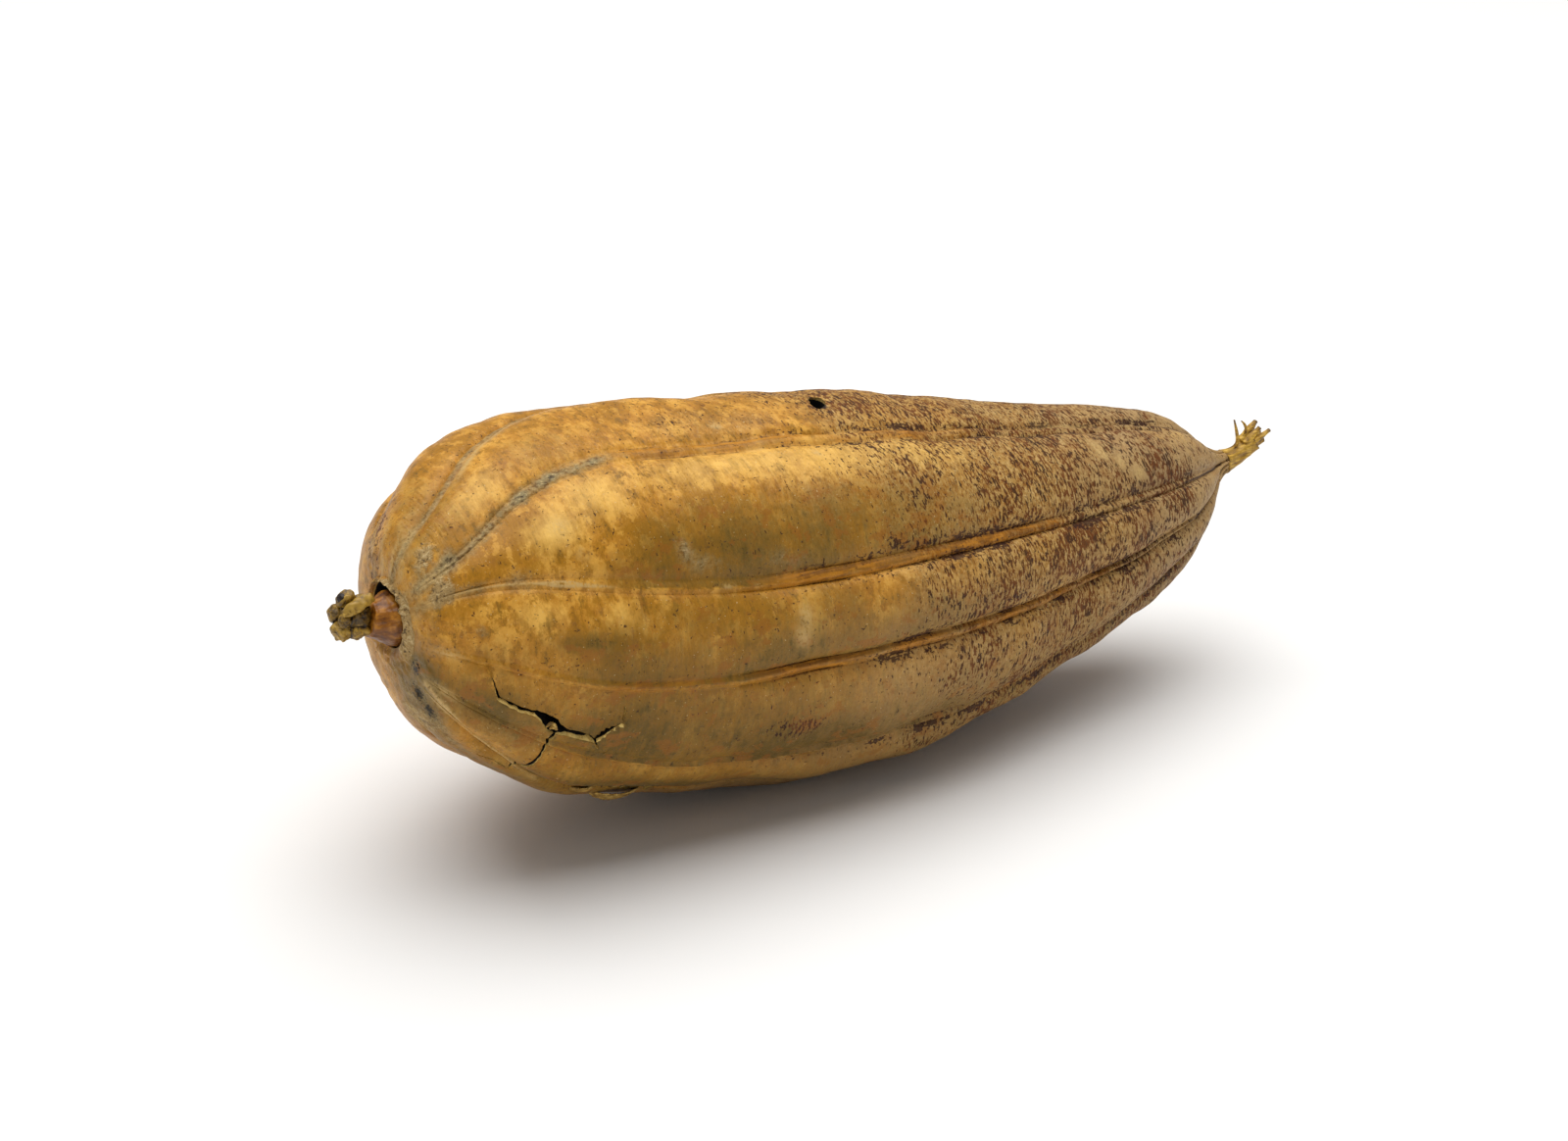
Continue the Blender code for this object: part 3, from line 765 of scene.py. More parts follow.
@dataclass(frozen=True)
class PodForm:
    """Plain form of the pod body, with the same sizes as its solid."""

    length: float = 0.165
    radius_stations: Path = (
        (0.0, 0.0069), (0.038, 0.0186), (0.146, 0.0278), (0.309, 0.0308), (0.5, 0.0303),
        (0.691, 0.0241), (0.854, 0.0172), (0.92, 0.0121), (0.965, 0.0057), (1.0, 0.0023),
    )
    axis_height: float = 0.0377
    axis_fall: float = 0.0113
    axis_sag: float = 0.0088
    axis_sway: float = 0.0012
    end_turn: float = 0.0077
    end_drop: float = 0.0018
    end_turn_share: float = 0.25
    valley_stations: tuple[float, ...] = (0.0, 0.05, 0.10, 0.18, 0.50, 0.72, 0.95)
    valley_degrees: Rows = (
        (57, 52, 46, 42, 39, 38, 38),
        (101, 98.5, 88, 77, 73.5, 73, 73),
        (133, 130.5, 122, 116, 113.5, 110, 106),
        (147, 149, 152.5, 157.5, 155.5, 153, 153),
        (178, 181, 184.5, 186.5, 181, 180.5, 175),
        (205, 208, 212, 217, 217, 212, 198),
        (214, 227, 237, 240, 239, 236, 232),
        (255, 260, 266, 271, 272, 270, 268),
        (300, 304, 307, 310, 312, 309, 306),
        (350, 351, 352, 353, 354, 354, 354),
    )
    valley_depth: float = 0.0018
    valley_shares: tuple[float, ...] = (1.0, 1.05, 0.75, 0.95, 1.1, 1.0, 0.9, 1.0, 1.0, 1.0)
    valley_fade: float = 0.015
    lobe_fullness: float = 0.6
    full_radius: float = 0.0300
    swells: Rows = (
        (0.60, 60, 0.0008, 0.10, 14), (0.16, 245, 0.0006, 0.06, 16), (0.37, 280, 0.0009, 0.08, 28),
    )
    cord_share: float = 0.062
    cord_height: float = 0.00045

    def sweep(self, share: Array) -> Array:
        """Sweep angle whose (1 - cos) / 2 is the share."""
        return np.arccos(np.clip(1 - 2 * np.asarray(share, float), -1, 1))

    def centre_line(self, share: Array) -> Array:
        """Middle of the pod: a sagging, swaying line whose blossom end turns to the front."""
        share = np.asarray(share, float)
        middle = 2 * share - 1
        bow = 1 - middle**2
        turn = np.clip(1 - share / self.end_turn_share, 0, 1) ** 2
        x = (share - 0.5) * self.length
        y = -self.axis_sway * middle * bow - self.end_turn * turn
        z = self.axis_height - self.axis_fall * (share - 0.5) - self.axis_sag * bow - self.end_drop * turn
        return np.stack([x, y, z], axis=-1)

    def envelope(self, share: Array) -> Array:
        """Radius over the lobes' crests: a spline through the stations."""
        shares, radii = zip(*self.radius_stations)
        return natural_spline(self.sweep(shares), radii, self.sweep(share))

    def valleys(self, share: Array) -> Array:
        """Angles of the valleys at each share, with the first repeated one turn on."""
        knots, at = self.sweep(self.valley_stations), self.sweep(share)
        angles = np.stack([natural_spline(knots, row, at) for row in self.valley_degrees], axis=-1)
        return np.concatenate([angles, angles[..., :1] + 360], axis=-1)

    def spots(self, share: Array, degrees: Array) -> Spots:
        """Find places on the plain form.

        Across a lobe the radius is the envelope less the valley's depth times (1 - fullness),
        where fullness is (4 s (1 - s)) to a power and s runs from the cord's edge to the middle,
        plus the cord's bump (1 - (edge / cord)^2)^2.

        Args:
            share: Shares of the length, as a flat array.
            degrees: Angles around the pod, as long as share.

        Returns:
            The places.
        """
        turns = self.valleys(share)
        degrees = turns[:, 0] + (degrees - turns[:, 0]) % 360
        lobe = np.clip((turns <= degrees[:, None]).sum(axis=1) - 1, 0, len(self.valley_degrees) - 1)
        row = np.arange(len(share))
        span = turns[row, lobe + 1] - turns[row, lobe]
        place = (degrees - turns[row, lobe]) / span
        envelope = self.envelope(share)
        shares = np.array(self.valley_shares)
        mixed = (1 - place) * shares[lobe] + place * shares[(lobe + 1) % len(shares)]
        depth = self.valley_depth * np.sqrt(np.clip(envelope / self.full_radius, 0, 1)) * mixed
        depth = depth * (1 - np.exp(-np.clip(share, 0, 1) / self.valley_fade))
        edge = np.minimum(place, 1 - place)
        inside = np.clip((edge - self.cord_share) / (0.5 - self.cord_share), 0, 1) / 2
        fullness = (4 * inside * (1 - inside)) ** self.lobe_fullness
        cord = self.cord_height * np.clip(1 - (edge / self.cord_share) ** 2, 0, 1) ** 2
        radius = envelope - depth * (1 - fullness) + cord * depth / self.valley_depth
        radius = radius + self.swelling(share, degrees)
        width = np.radians(span) * envelope
        return Spots(
            share=share,
            degrees=degrees,
            lobe=lobe,
            place=place,
            radius=radius,
            points=self.around(self.centre_line(share), radius, degrees),
            beside=edge * width,
            valley=np.where(place < 0.5, lobe, (lobe + 1) % len(self.valley_degrees)),
            width=width,
            hollow=depth * (1 - fullness),
        )

    def swelling(self, share: Array, degrees: Array) -> Array:
        """Extra radius of the swellings, each a bell over the skin."""
        extra = np.zeros(np.shape(share))
        for middle, turn, height, along, around in self.swells:
            extra = extra + height * spread_over(share, degrees, middle, turn, along, around)
        return extra

    def around(self, centre: Array, radius: Array, degrees: Array) -> Array:
        """Points at a radius and an angle around a centre, in a plane square to X."""
        turn = np.radians(degrees)
        flat = np.zeros(np.shape(turn))
        return centre + np.stack([flat, radius * np.cos(turn), radius * np.sin(turn)], axis=-1)

    def places_of(self, points: Array) -> Spots:
        """Find the places on the form that lie at the same share and angle as points."""
        share = points[:, 0] / self.length + 0.5
        centre = self.centre_line(share)
        degrees = np.degrees(np.arctan2(points[:, 2] - centre[:, 2], points[:, 1] - centre[:, 1]))
        return self.spots(share, degrees)

    def trace(self, path: Path, step: float) -> Spots:
        """Walk a path of shares and angles over the skin in even steps.

        Args:
            path: Corners of the path, as shares and degrees.
            step: Length of a step.

        Returns:
            The places on the way.
        """
        corners = np.array(path, float)[:, :2]
        at = self.spots(corners[:, 0], corners[:, 1]).points
        walked = walked_along(at)
        stops = np.linspace(0, walked[-1], max(2, round(walked[-1] / step) + 1))
        return self.spots(np.interp(stops, walked, corners[:, 0]), np.interp(stops, walked, corners[:, 1]))


def spread_over(
    share: Array, degrees: Array, middle: float, turn: float, along: float, around: float
) -> Array:
    """Bell on the skin: exp(-(share apart / along)^2 - (degrees apart / around)^2)."""
    apart = (degrees - turn + 180) % 360 - 180
    return np.exp(-(((share - middle) / along) ** 2) - (apart / around) ** 2)


@dataclass(frozen=True)
class Crack:
    """A crack through the rind.

    Attributes:
        name: Name of the crack.
        path: Its corners, as shares, degrees and widths.
        seed: Seed of its torn edges.
        tear: How far its edges wander.
        lift: How far the lip on its right stands up, looking along the path from outside. A
            value below 0 is a lip that has sunk.
        sink: How far the lip on its left has sunk, or stands up where the value is below 0.
        spread: How far from the crack the lift reaches.
    """

    name: str
    path: Rows
    seed: int
    tear: float = 0.00010
    lift: float = 0.0
    sink: float = 0.0
    spread: float = 0.0026


CRACKS = (
    Crack(
        "main",
        (
            (0.043, 187.0, 0.0003), (0.048, 196.0, 0.0004), (0.064, 198.0, 0.0005),
            (0.077, 197.8, 0.0007), (0.085, 199.8, 0.0014), (0.092, 202.0, 0.0021),
            (0.097, 203.4, 0.0013), (0.104, 204.2, 0.0009), (0.118, 205.3, 0.0007),
            (0.133, 206.7, 0.0005), (0.143, 202.5, 0.0006), (0.156, 199.3, 0.0003),
        ),
        seed=11,
        tear=0.00006,
        lift=0.00050,
        sink=0.00020,
    ),
    Crack(
        "cross",
        ((0.0825, 239.0, 0.0005), (0.0885, 226.0, 0.0005), (0.0925, 213.0, 0.0005), (0.0945, 203.5, 0.0007)),
        seed=12,
        tear=0.00006,
        lift=0.00022,
        spread=0.0014,
    ),
    Crack(
        "lower",
        (
            (0.128, 233.0, 0.0005), (0.142, 233.5, 0.0018), (0.158, 236.0, 0.0044),
            (0.168, 237.0, 0.0024), (0.182, 237.5, 0.0044), (0.194, 238.5, 0.0034),
            (0.208, 240.0, 0.0044), (0.222, 242.0, 0.0026), (0.240, 244.0, 0.0008),
            (0.265, 245.0, 0.0004),
        ),
        seed=13,
        tear=0.00040,
        lift=-0.0003,
        sink=-0.0001,
        spread=0.0022,
    ),
    Crack("spur", ((0.133, 206.5, 0.0004), (0.139, 210.5, 0.0003)), seed=14, tear=0.00004),
    Crack(
        "hairline",
        ((0.156, 198.5, 0.0003), (0.157, 195.0, 0.0003), (0.155, 193.0, 0.0002)),
        seed=15,
        tear=0.00004,
    ),
    Crack("hook", ((0.147, 214.0, 0.0003), (0.150, 210.8, 0.0002)), seed=16, tear=0.00004),
    Crack(
        "nick",
        ((0.052, 238.5, 0.0003), (0.066, 237.5, 0.0003), (0.082, 240.0, 0.0003)),
        seed=17,
        tear=0.00004,
    ),
)


@dataclass
class PodSkin:
    """Ribbed rind of the pod with its relief, cracks, insect hole and torn blossom rim.

    Attributes:
        cord_runs: For each valley, where its cord starts and ends, and how strong it shows.
        crease_shares: For each valley, how sharp it stays near the blossom end.
        hole_place: Share and degrees of the insect hole.
        rim_tear: How far the rim's torn edge stands out, in millimetres.
        rind_depth: How far down a crack keeps its full width.
        lip_blend: How far from a crack's middle line its two sides are apart in height.
    """

    form: PodForm
    rows: int = 285
    lobe_columns: int = 30
    valley_crowding: float = 0.62

    cracks: tuple[Crack, ...] = CRACKS
    crack_depth: float = 0.0035
    crack_taper: float = 0.8
    crack_rise: float = 0.0012
    crack_edge: float = 0.00008
    rind_depth: float = 0.0009
    lip_blend: float = 0.00025
    sharp_angle: float = math.radians(48)

    hole_place: tuple[float, float] = (0.457, 97.0)
    hole_half_width: float = 0.0013
    hole_half_length: float = 0.0024
    hole_turn: float = math.radians(34)
    hole_depth: float = 0.0030
    hole_rise: float = 0.0020

    socket_radius: float = 0.0048
    socket_depth: float = 0.0030
    socket_side: float = 0.0002
    socket_rise: float = 0.0018
    rim_height: float = 0.0006
    rim_lip: float = 0.0004
    rim_rows: int = 9
    rim_tear: float = 0.16
    rim_waves: Waves = Waves(31, 0.0009, 0.0028)

    cord_runs: Rows = (
        (0.20, 0.84, 1.0), (0.20, 0.84, 1.0), (0.22, 0.60, 0.75), (0.31, 0.68, 1.0), (0.27, 0.72, 1.05),
        (0.36, 0.80, 0.10), (0.30, 0.80, 0.5), (0.25, 0.84, 0.9), (0.22, 0.84, 1.0), (0.22, 0.84, 1.0),
    )
    crease_shares: tuple[float, ...] = (1.0, 0.9, 0.75, 0.6, 0.15, 0.35, 0.8, 1.0, 1.0, 1.0)

    lumps: Waves = Waves(3, 0.012, 0.030)
    lump_height: float = 0.22 * MM
    dents: Waves = Waves(5, 0.0035, 0.008, (1, 1.6, 1.6))
    dent_height: float = 0.045 * MM
    ripples: Waves = Waves(7, 0.0020, 0.0045, (1, 9, 9))
    ripple_height: float = 0.022 * MM
    groove_sway: Waves = Waves(9, 0.006, 0.02)
    groove_depth: float = 0.20 * MM
    crease_depth: float = 0.32 * MM
    neck_depth: float = 0.35 * MM
    pleat_count: int = 23
    pleat_height: float = 0.14 * MM
    pleat_sway: Waves = Waves(21, 0.004, 0.012)
    spoke_height: float = 0.30 * MM
    crust: Waves = Waves(23, 0.0009, 0.0022)
    gully_depth: float = 0.30 * MM
    fold_height: float = 0.28 * MM
    gully: Path = ((0.001, 226), (0.016, 234), (0.043, 243), (0.074, 247), (0.10, 249))
    fold: Path = ((0.004, 210), (0.020, 217), (0.039, 224), (0.062, 230), (0.083, 235), (0.11, 241))

    def build(self) -> bpy.types.Object:
        """Make the skin, cut it, store the layers that its finish reads, and dress it."""
        mesh = mesh_of("pod_skin", [Shell(self.rings())])
        mesh = self.cut(mesh, [self.crack_tool(crack) for crack in self.cracks] + [self.hole_tool()])
        points = points_of(mesh)
        write_layers(mesh, SkinLayers(self, points).read())
        mesh.set_sharp_from_angle(angle=self.sharp_angle)
        return add_piece(mesh, RindFinish().material(), "pod_body")

    def lift_of(self, crack: Crack, spots: Spots) -> Array:
        """Height of a crack's lips: one stands up and the other has sunk.

        On each side the height falls along a bell with the distance from the crack. The side is
        the sign of the cross product of the nearest step along the crack and the way from it, on
        the skin laid flat, and the two sides meet in a smooth step.
        """
        walk = self.form.trace(crack.path, 0.0006)
        away, piece = distance_to_path(spots.points, walk.points, 0.009)
        turn = (spots.degrees - walk.degrees[piece] + 180) % 360 - 180
        across = np.radians(turn) * spots.radius
        along = (spots.share - walk.share[piece]) * self.form.length
        step_along = np.diff(walk.share)[piece] * self.form.length
        step_across = np.radians(np.diff(walk.degrees)[piece]) * spots.radius
        side = (step_along * across - step_across * along) / np.hypot(step_along, step_across)
        right = smooth(-self.lip_blend, self.lip_blend, side)
        raised = right * crack.lift * bell(away, crack.spread)
        return raised - (1 - right) * crack.sink * bell(away, crack.spread * 1.3)

    def pleating(self, spots: Spots) -> Array:
        """Wave from -1 to 1 round the pod, with pleats that wander as they run along it."""
        wander = 1.6 * self.pleat_sway.at(spots.points)
        return np.cos(np.radians(spots.degrees * self.pleat_count) + wander)

    def relief(self, spots: Spots) -> Array:
        """Extra radius of the grown and weathered surface at places on the plain form.

        It is the sum of a share of the hollow of weak valleys, slow lumps, small dents, ripples
        that run round the pod, grooves beside the cords, creases where the cords die out, pleats,
        raised spokes and a crust at the blossom end, a raised fold with a gully beside it and the
        lips of the cracks.
        """
        share, points, beside = spots.share, spots.points, spots.beside
        body = band(share, (0.0, 0.03), (0.96, 1.0))
        soft = np.array(self.crease_shares)[spots.valley]
        filled = (1 - soft) * smooth(0.34, 0.22, share) * smooth(0.0, 0.03, share) * spots.hollow
        lumps = self.lump_height * self.lumps.at(points)
        dents = self.dent_height * self.dents.at(points)
        ripples = self.ripple_height * self.ripples.at(points)
        half_cord = self.form.cord_share * spots.width
        wander = 0.18 * MM * self.groove_sway.at(points)
        corded = band(share, (0.20, 0.42), (0.90, 1.0))
        groove = -self.groove_depth * corded * bell(beside - half_cord - 0.3 * MM - wander, 0.32 * MM)
        left = band(share, (0.0, 0.04), (0.14, 0.34))
        crease = -self.crease_depth * left * soft * bell(beside, 0.55 * MM)
        neck = -self.neck_depth * band(share, (0.84, 0.92), (0.98, 1.0)) * bell(beside, 0.4 * MM)
        pleats = self.pleat_height * self.pleating(spots) * np.exp(-np.clip(share, 0, 1) / 0.022)
        spokes = self.spoke_height * bell(beside, 0.9 * MM) * bell(share - 0.012, 0.014)
        crust = (0.13 + 0.16 * self.crust.at(points)) * MM * bell(share, 0.006)
        gully = -self.gully_depth * self.along(self.gully, points, 0.8 * MM)
        ridge = self.fold_height * self.along(self.fold, points, 0.6 * MM)
        lips = sum(self.lift_of(crack, spots) for crack in self.cracks if crack.lift)
        relief = body * (lumps + dents + ripples) + groove + crease + neck + pleats + spokes + crust
        return relief + ridge + gully + lips + filled

    def along(self, path: Path, points: Array, width: float, step: float = 0.001) -> Array:
        """Bell of the distance from points to a path of shares and degrees on the skin."""
        traced = self.form.trace(path, step).points
        return bell(distance_to_path(points, traced, 0.004)[0], width)

    def rings(self) -> Array:
        """Rings of the skin from the socket's floor over its rim to the stalk end.

        The columns follow the lobes and crowd at the valleys: place = s - c sin(2 pi s) / (2 pi).
        The rim is a quadratic curve from the socket's mouth over its crest to the skin.
        """
        sweep = np.linspace(0, math.pi, self.rows)
        share = (1 - np.cos(sweep)) / 2
        s = np.arange(self.lobe_columns) / self.lobe_columns
        place = s - self.valley_crowding * np.sin(2 * math.pi * s) / (2 * math.pi)
        turns = self.form.valleys(share)
        degrees = turns[:, :-1, None] * (1 - place) + turns[:, 1:, None] * place
        degrees = degrees.reshape(self.rows, -1)
        spots = self.form.spots(np.repeat(share, degrees.shape[1]), degrees.ravel())
        radius = (spots.radius + self.relief(spots)).reshape(degrees.shape)
        skin = self.form.around(self.form.centre_line(share)[:, None], radius, degrees)

        socket = self.form.centre_line(0.0) + (0, self.socket_side, self.socket_rise)
        mouth = self.form.around(socket, self.socket_radius, degrees[0])
        crest = (skin[0] + 2 * mouth) / 3 - (2 * self.rim_height, 0, 0)
        mouth = mouth - (self.rim_lip * 0.5, 0, 0)
        t = np.linspace(0, 1, self.rim_rows, endpoint=False)[:, None, None]
        rim = (1 - t) ** 2 * mouth + 2 * t * (1 - t) * crest + t**2 * skin[0]
        torn = self.rim_waves.at(rim)[..., None] * 4 * t * (1 - t)
        rim = rim + torn * np.array([-self.rim_tear, 0, 0]) * MM
        floor = socket + (self.socket_depth, 0, 0)
        half_way = floor - (self.socket_depth / 2, 0, 0)
        deep = [self.form.around(floor, self.socket_radius * part, degrees[0]) for part in (0.4, 0.8, 1.0)]
        deep.append(self.form.around(half_way, self.socket_radius, degrees[0]))
        rings = np.concatenate([np.stack(deep), rim, skin])
        rings[..., 2] = np.maximum(rings[..., 2], 0)
        return rings

    def frame_on(self, spots: Spots) -> tuple[Array, Array]:
        """Point on the finished skin and direction out of it at each place.

        The direction is the cross product of a small step around the skin and one along it.
        """
        form = self.form
        step, turn = 0.003, 1.5
        along = form.spots(spots.share + step, spots.degrees).points
        along = along - form.spots(spots.share - step, spots.degrees).points
        around = form.spots(spots.share, spots.degrees + turn).points
        around = around - form.spots(spots.share, spots.degrees - turn).points
        out = unit(np.cross(around, along))
        radius = spots.radius + self.relief(spots)
        return form.around(form.centre_line(spots.share), radius, spots.degrees), out

    def crack_tool(self, crack: Crack) -> bpy.types.Object:
        """Tool that cuts a crack: a jagged slot through the rind that narrows at its bottom.

        Its section has six corners, and each side wanders by its own smoothed random steps.
        """
        random = np.random.default_rng(crack.seed)
        spots = self.form.trace(crack.path, 0.00035)
        centre, out = self.frame_on(spots)
        side = unit(np.cross(out, np.gradient(centre, axis=0)))
        shares, _, widths = zip(*crack.path)
        corners = self.form.spots(np.array(shares), np.array(crack.path)[:, 1]).points
        walked = walked_along(corners)
        width = np.interp(np.linspace(0, walked[-1], len(centre)), walked, widths)
        from_end = np.minimum(np.linspace(0, 6, len(centre)), np.linspace(6, 0, len(centre)))
        taper = np.clip(0.25 + from_end, 0, 1)
        tears = random.normal(size=(2, len(centre))) * crack.tear
        tears = tears + 0.5 * (np.roll(tears, 1, axis=1) + np.roll(tears, -1, axis=1))
        left, right = (np.maximum(width / 2 + tear * 0.7, self.crack_edge) * taper for tear in tears)
        section = ((self.crack_rise, 1.0), (-self.rind_depth, 1.0), (-self.crack_depth, self.crack_taper))
        rings = [centre + out * height + side * (left * wide)[:, None] for height, wide in section]
        for height, wide in section[::-1]:
            rings.append(centre + out * height - side * (right * wide)[:, None])
        return self.tool(f"{crack.name}_crack_tool", np.stack(rings, axis=1))

    def hole_tool(self) -> bpy.types.Object:
        """Tool that drills the insect hole: an uneven oval bar, longest about round the pod."""
        share, degrees = (np.array([part]) for part in self.hole_place)
        centre, out = self.frame_on(self.form.spots(share, degrees))
        turns = full_turn(28)
        wide, long = self.hole_half_width, self.hole_half_length
        turned = turns - self.hole_turn
        oval = wide * long / np.hypot(long * np.sin(turned), wide * np.cos(turned))
        uneven = oval * (1 + 0.06 * np.cos(3 * turns + 1) + 0.04 * np.cos(7 * turns))
        reach = np.array([-self.hole_depth, self.hole_rise])
        rings = tube(centre + reach[:, None] * out, np.tile(uneven, (2, 1)), turns, np.array([1.0, 0, 0]))
        return self.tool("hole_tool", rings)

    def tool(self, name: str, rings: Array) -> bpy.types.Object:
        """Make a cutting tool that isn't shown."""
        return placed(name, mesh_of(name, [Shell(rings)]))

    def cut(self, mesh: bpy.types.Mesh, tools: list[bpy.types.Object]) -> bpy.types.Mesh:
        """Subtract the tools from a mesh and remove them.

        Args:
            mesh: The closed mesh to cut.
            tools: The closed tools.

        Returns:
            The cut mesh, under the same name.
        """
        name = mesh.name
        blank = placed("blank", mesh)
        for thing in tools:
            modifier = blank.modifiers.new(thing.name, "BOOLEAN")
            modifier.operation = "DIFFERENCE"
            modifier.solver = "MANIFOLD"
            modifier.object = thing
        bpy.context.view_layer.update()
        graph = bpy.context.evaluated_depsgraph_get()
        result = bpy.data.meshes.new_from_object(blank.evaluated_get(graph))
        for thing in [blank, *tools]:
            data = thing.data
            bpy.data.objects.remove(thing, do_unlink=True)
            bpy.data.meshes.remove(data)
        result.name = name
        return result


@dataclass(frozen=True)
class Patches:
    """Marks that are laid on the skin one by one.

    Each row is one bell: its share and degrees, its amount, and how far it reaches along the
    pod, as a share of its length, and round it, in degrees.
    """

    matte: Rows = ((0.06, 210, 0.6, 0.03, 9),)
    bare: Rows = ((0.755, 127, 1.4, 0.006, 5), (0.775, 134, 1.3, 0.005, 4), (0.795, 141, 1.0, 0.007, 4))
    dash: Rows = (
        (0.82, 140, 0.5, 0.03, 9), (0.66, 168, 0.3, 0.05, 8), (0.70, 159, 0.5, 0.03, 4),
        (0.335, 203, 1.2, 0.03, 4.0), (0.015, 60, 1.3, 0.02, 11),
    )
    cord: Rows = (
        (0.006, 178, 0.6, 0.008, 10), (0.012, 160, 0.4, 0.008, 6), (0.055, 181, 0.3, 0.02, 5),
        (0.160, 187, 0.5, 0.030, 2.2), (0.207, 185, 0.5, 0.020, 1.8),
    )
    border: Rows = (
        (0.450, 151.0, 1.0, 0.016, 1.8), (0.525, 156.5, 0.9, 0.025, 1.8), (0.430, 184.5, 1.4, 0.026, 2.2),
        (0.585, 174.5, 0.9, 0.020, 2.0), (0.700, 157.0, 0.6, 0.025, 4.0),
    )
    # painted shade, with some olive tone, on lower sides, underneath and round the socket; the negative row
    # clears it round the painted highlight
    painted_shade_and_tone: Rows = (
        (0.36, 145, 0.10, 0.10, 9), (0.33, 168, 0.25, 0.12, 8), (0.17, 196, 0.55, 0.06, 12),
        (0.30, 196, 0.45, 0.09, 11), (0.22, 166, 0.30, 0.05, 6), (0.22, 230, 0.30, 0.08, 8),
        (0.15, 240, 0.35, 0.08, 14), (0.13, 136, -0.7, 0.05, 9), (0.125, 172, 0.5, 0.035, 3),
        (0.045, 250, 0.6, 0.05, 12), (0.008, 235, 0.9, 0.015, 30), (0.003, 200, 0.9, 0.005, 22),
        (0.03, 100, 0.40, 0.03, 25), (0.045, 203, 0.95, 0.035, 14), (0.05, 178, 0.25, 0.02, 8),
        (0.14, 105, 0.20, 0.05, 10),
    )
    # painted highlights and pools of light on the lobes
    bright: Rows = (
        (0.115, 137, 0.95, 0.022, 6), (0.165, 128, 0.70, 0.030, 7), (0.070, 113, 0.60, 0.025, 8),
        (0.250, 124, 0.25, 0.050, 7), (0.330, 122, 0.62, 0.060, 7), (0.160, 166, 0.35, 0.025, 5),
        (0.420, 122, 0.48, 0.050, 8), (0.520, 122, 0.40, 0.060, 8), (0.880, 118, 0.20, 0.060, 12),
        (0.085, 163, 0.50, 0.020, 5), (0.340, 171, 0.45, 0.012, 8),
    )
    dust: Rows = (
        (0.229, 148, 0.75, 0.007, 2.5), (0.135, 146, 0.30, 0.008, 2.5), (0.075, 150, 0.45, 0.010, 4.0),
        (0.020, 240, 0.16, 0.022, 22), (0.028, 131, 0.70, 0.006, 5), (0.037, 166, 0.50, 0.004, 2.5),
        (0.245, 152, 0.35, 0.02, 2.5), (0.33, 152, 0.25, 0.03, 3.0),
    )
    # The first row, at share 0.121 and 136 degrees, is a painted highlight; the others are pale patches.
    pale: Rows = (
        (0.121, 136, 0.55, 0.010, 3.5), (0.330, 105, 1.6, 0.004, 1.2), (0.405, 121, 1.6, 0.003, 1.4),
        (0.335, 168, 0.80, 0.006, 3.0), (0.330, 174, 0.80, 0.007, 3.0), (0.755, 127, 0.85, 0.006, 4.0),
        (0.775, 134, 0.80, 0.005, 3.0), (0.795, 141, 0.75, 0.007, 3.0),
    )
    # painted shade inside the cuts
    painted_crack_shade: Rows = (
        (0.185, 237, 1.5, 0.050, 9), (0.147, 202, 0.8, 0.012, 8), (0.045, 192, 0.7, 0.004, 6),
        (0.014, 232, 0.9, 0.012, 22),
    )
    mauve: Rows = ((0.825, 140, 1.0, 0.028, 9), (0.86, 120, 0.4, 0.03, 10), (0.015, 58, 0.9, 0.02, 9))
    crust: Rows = ((0.016, 121, 0.75, 0.009, 7), (0.017, 144, 0.85, 0.010, 8), (0.012, 252, 0.55, 0.016, 26))
    char: Rows = (
        (0.0035, 230, 0.55, 0.0022, 9), (0.0110, 232, 0.50, 0.0040, 6), (0.0005, 206, 0.60, 0.0009, 11),
    )


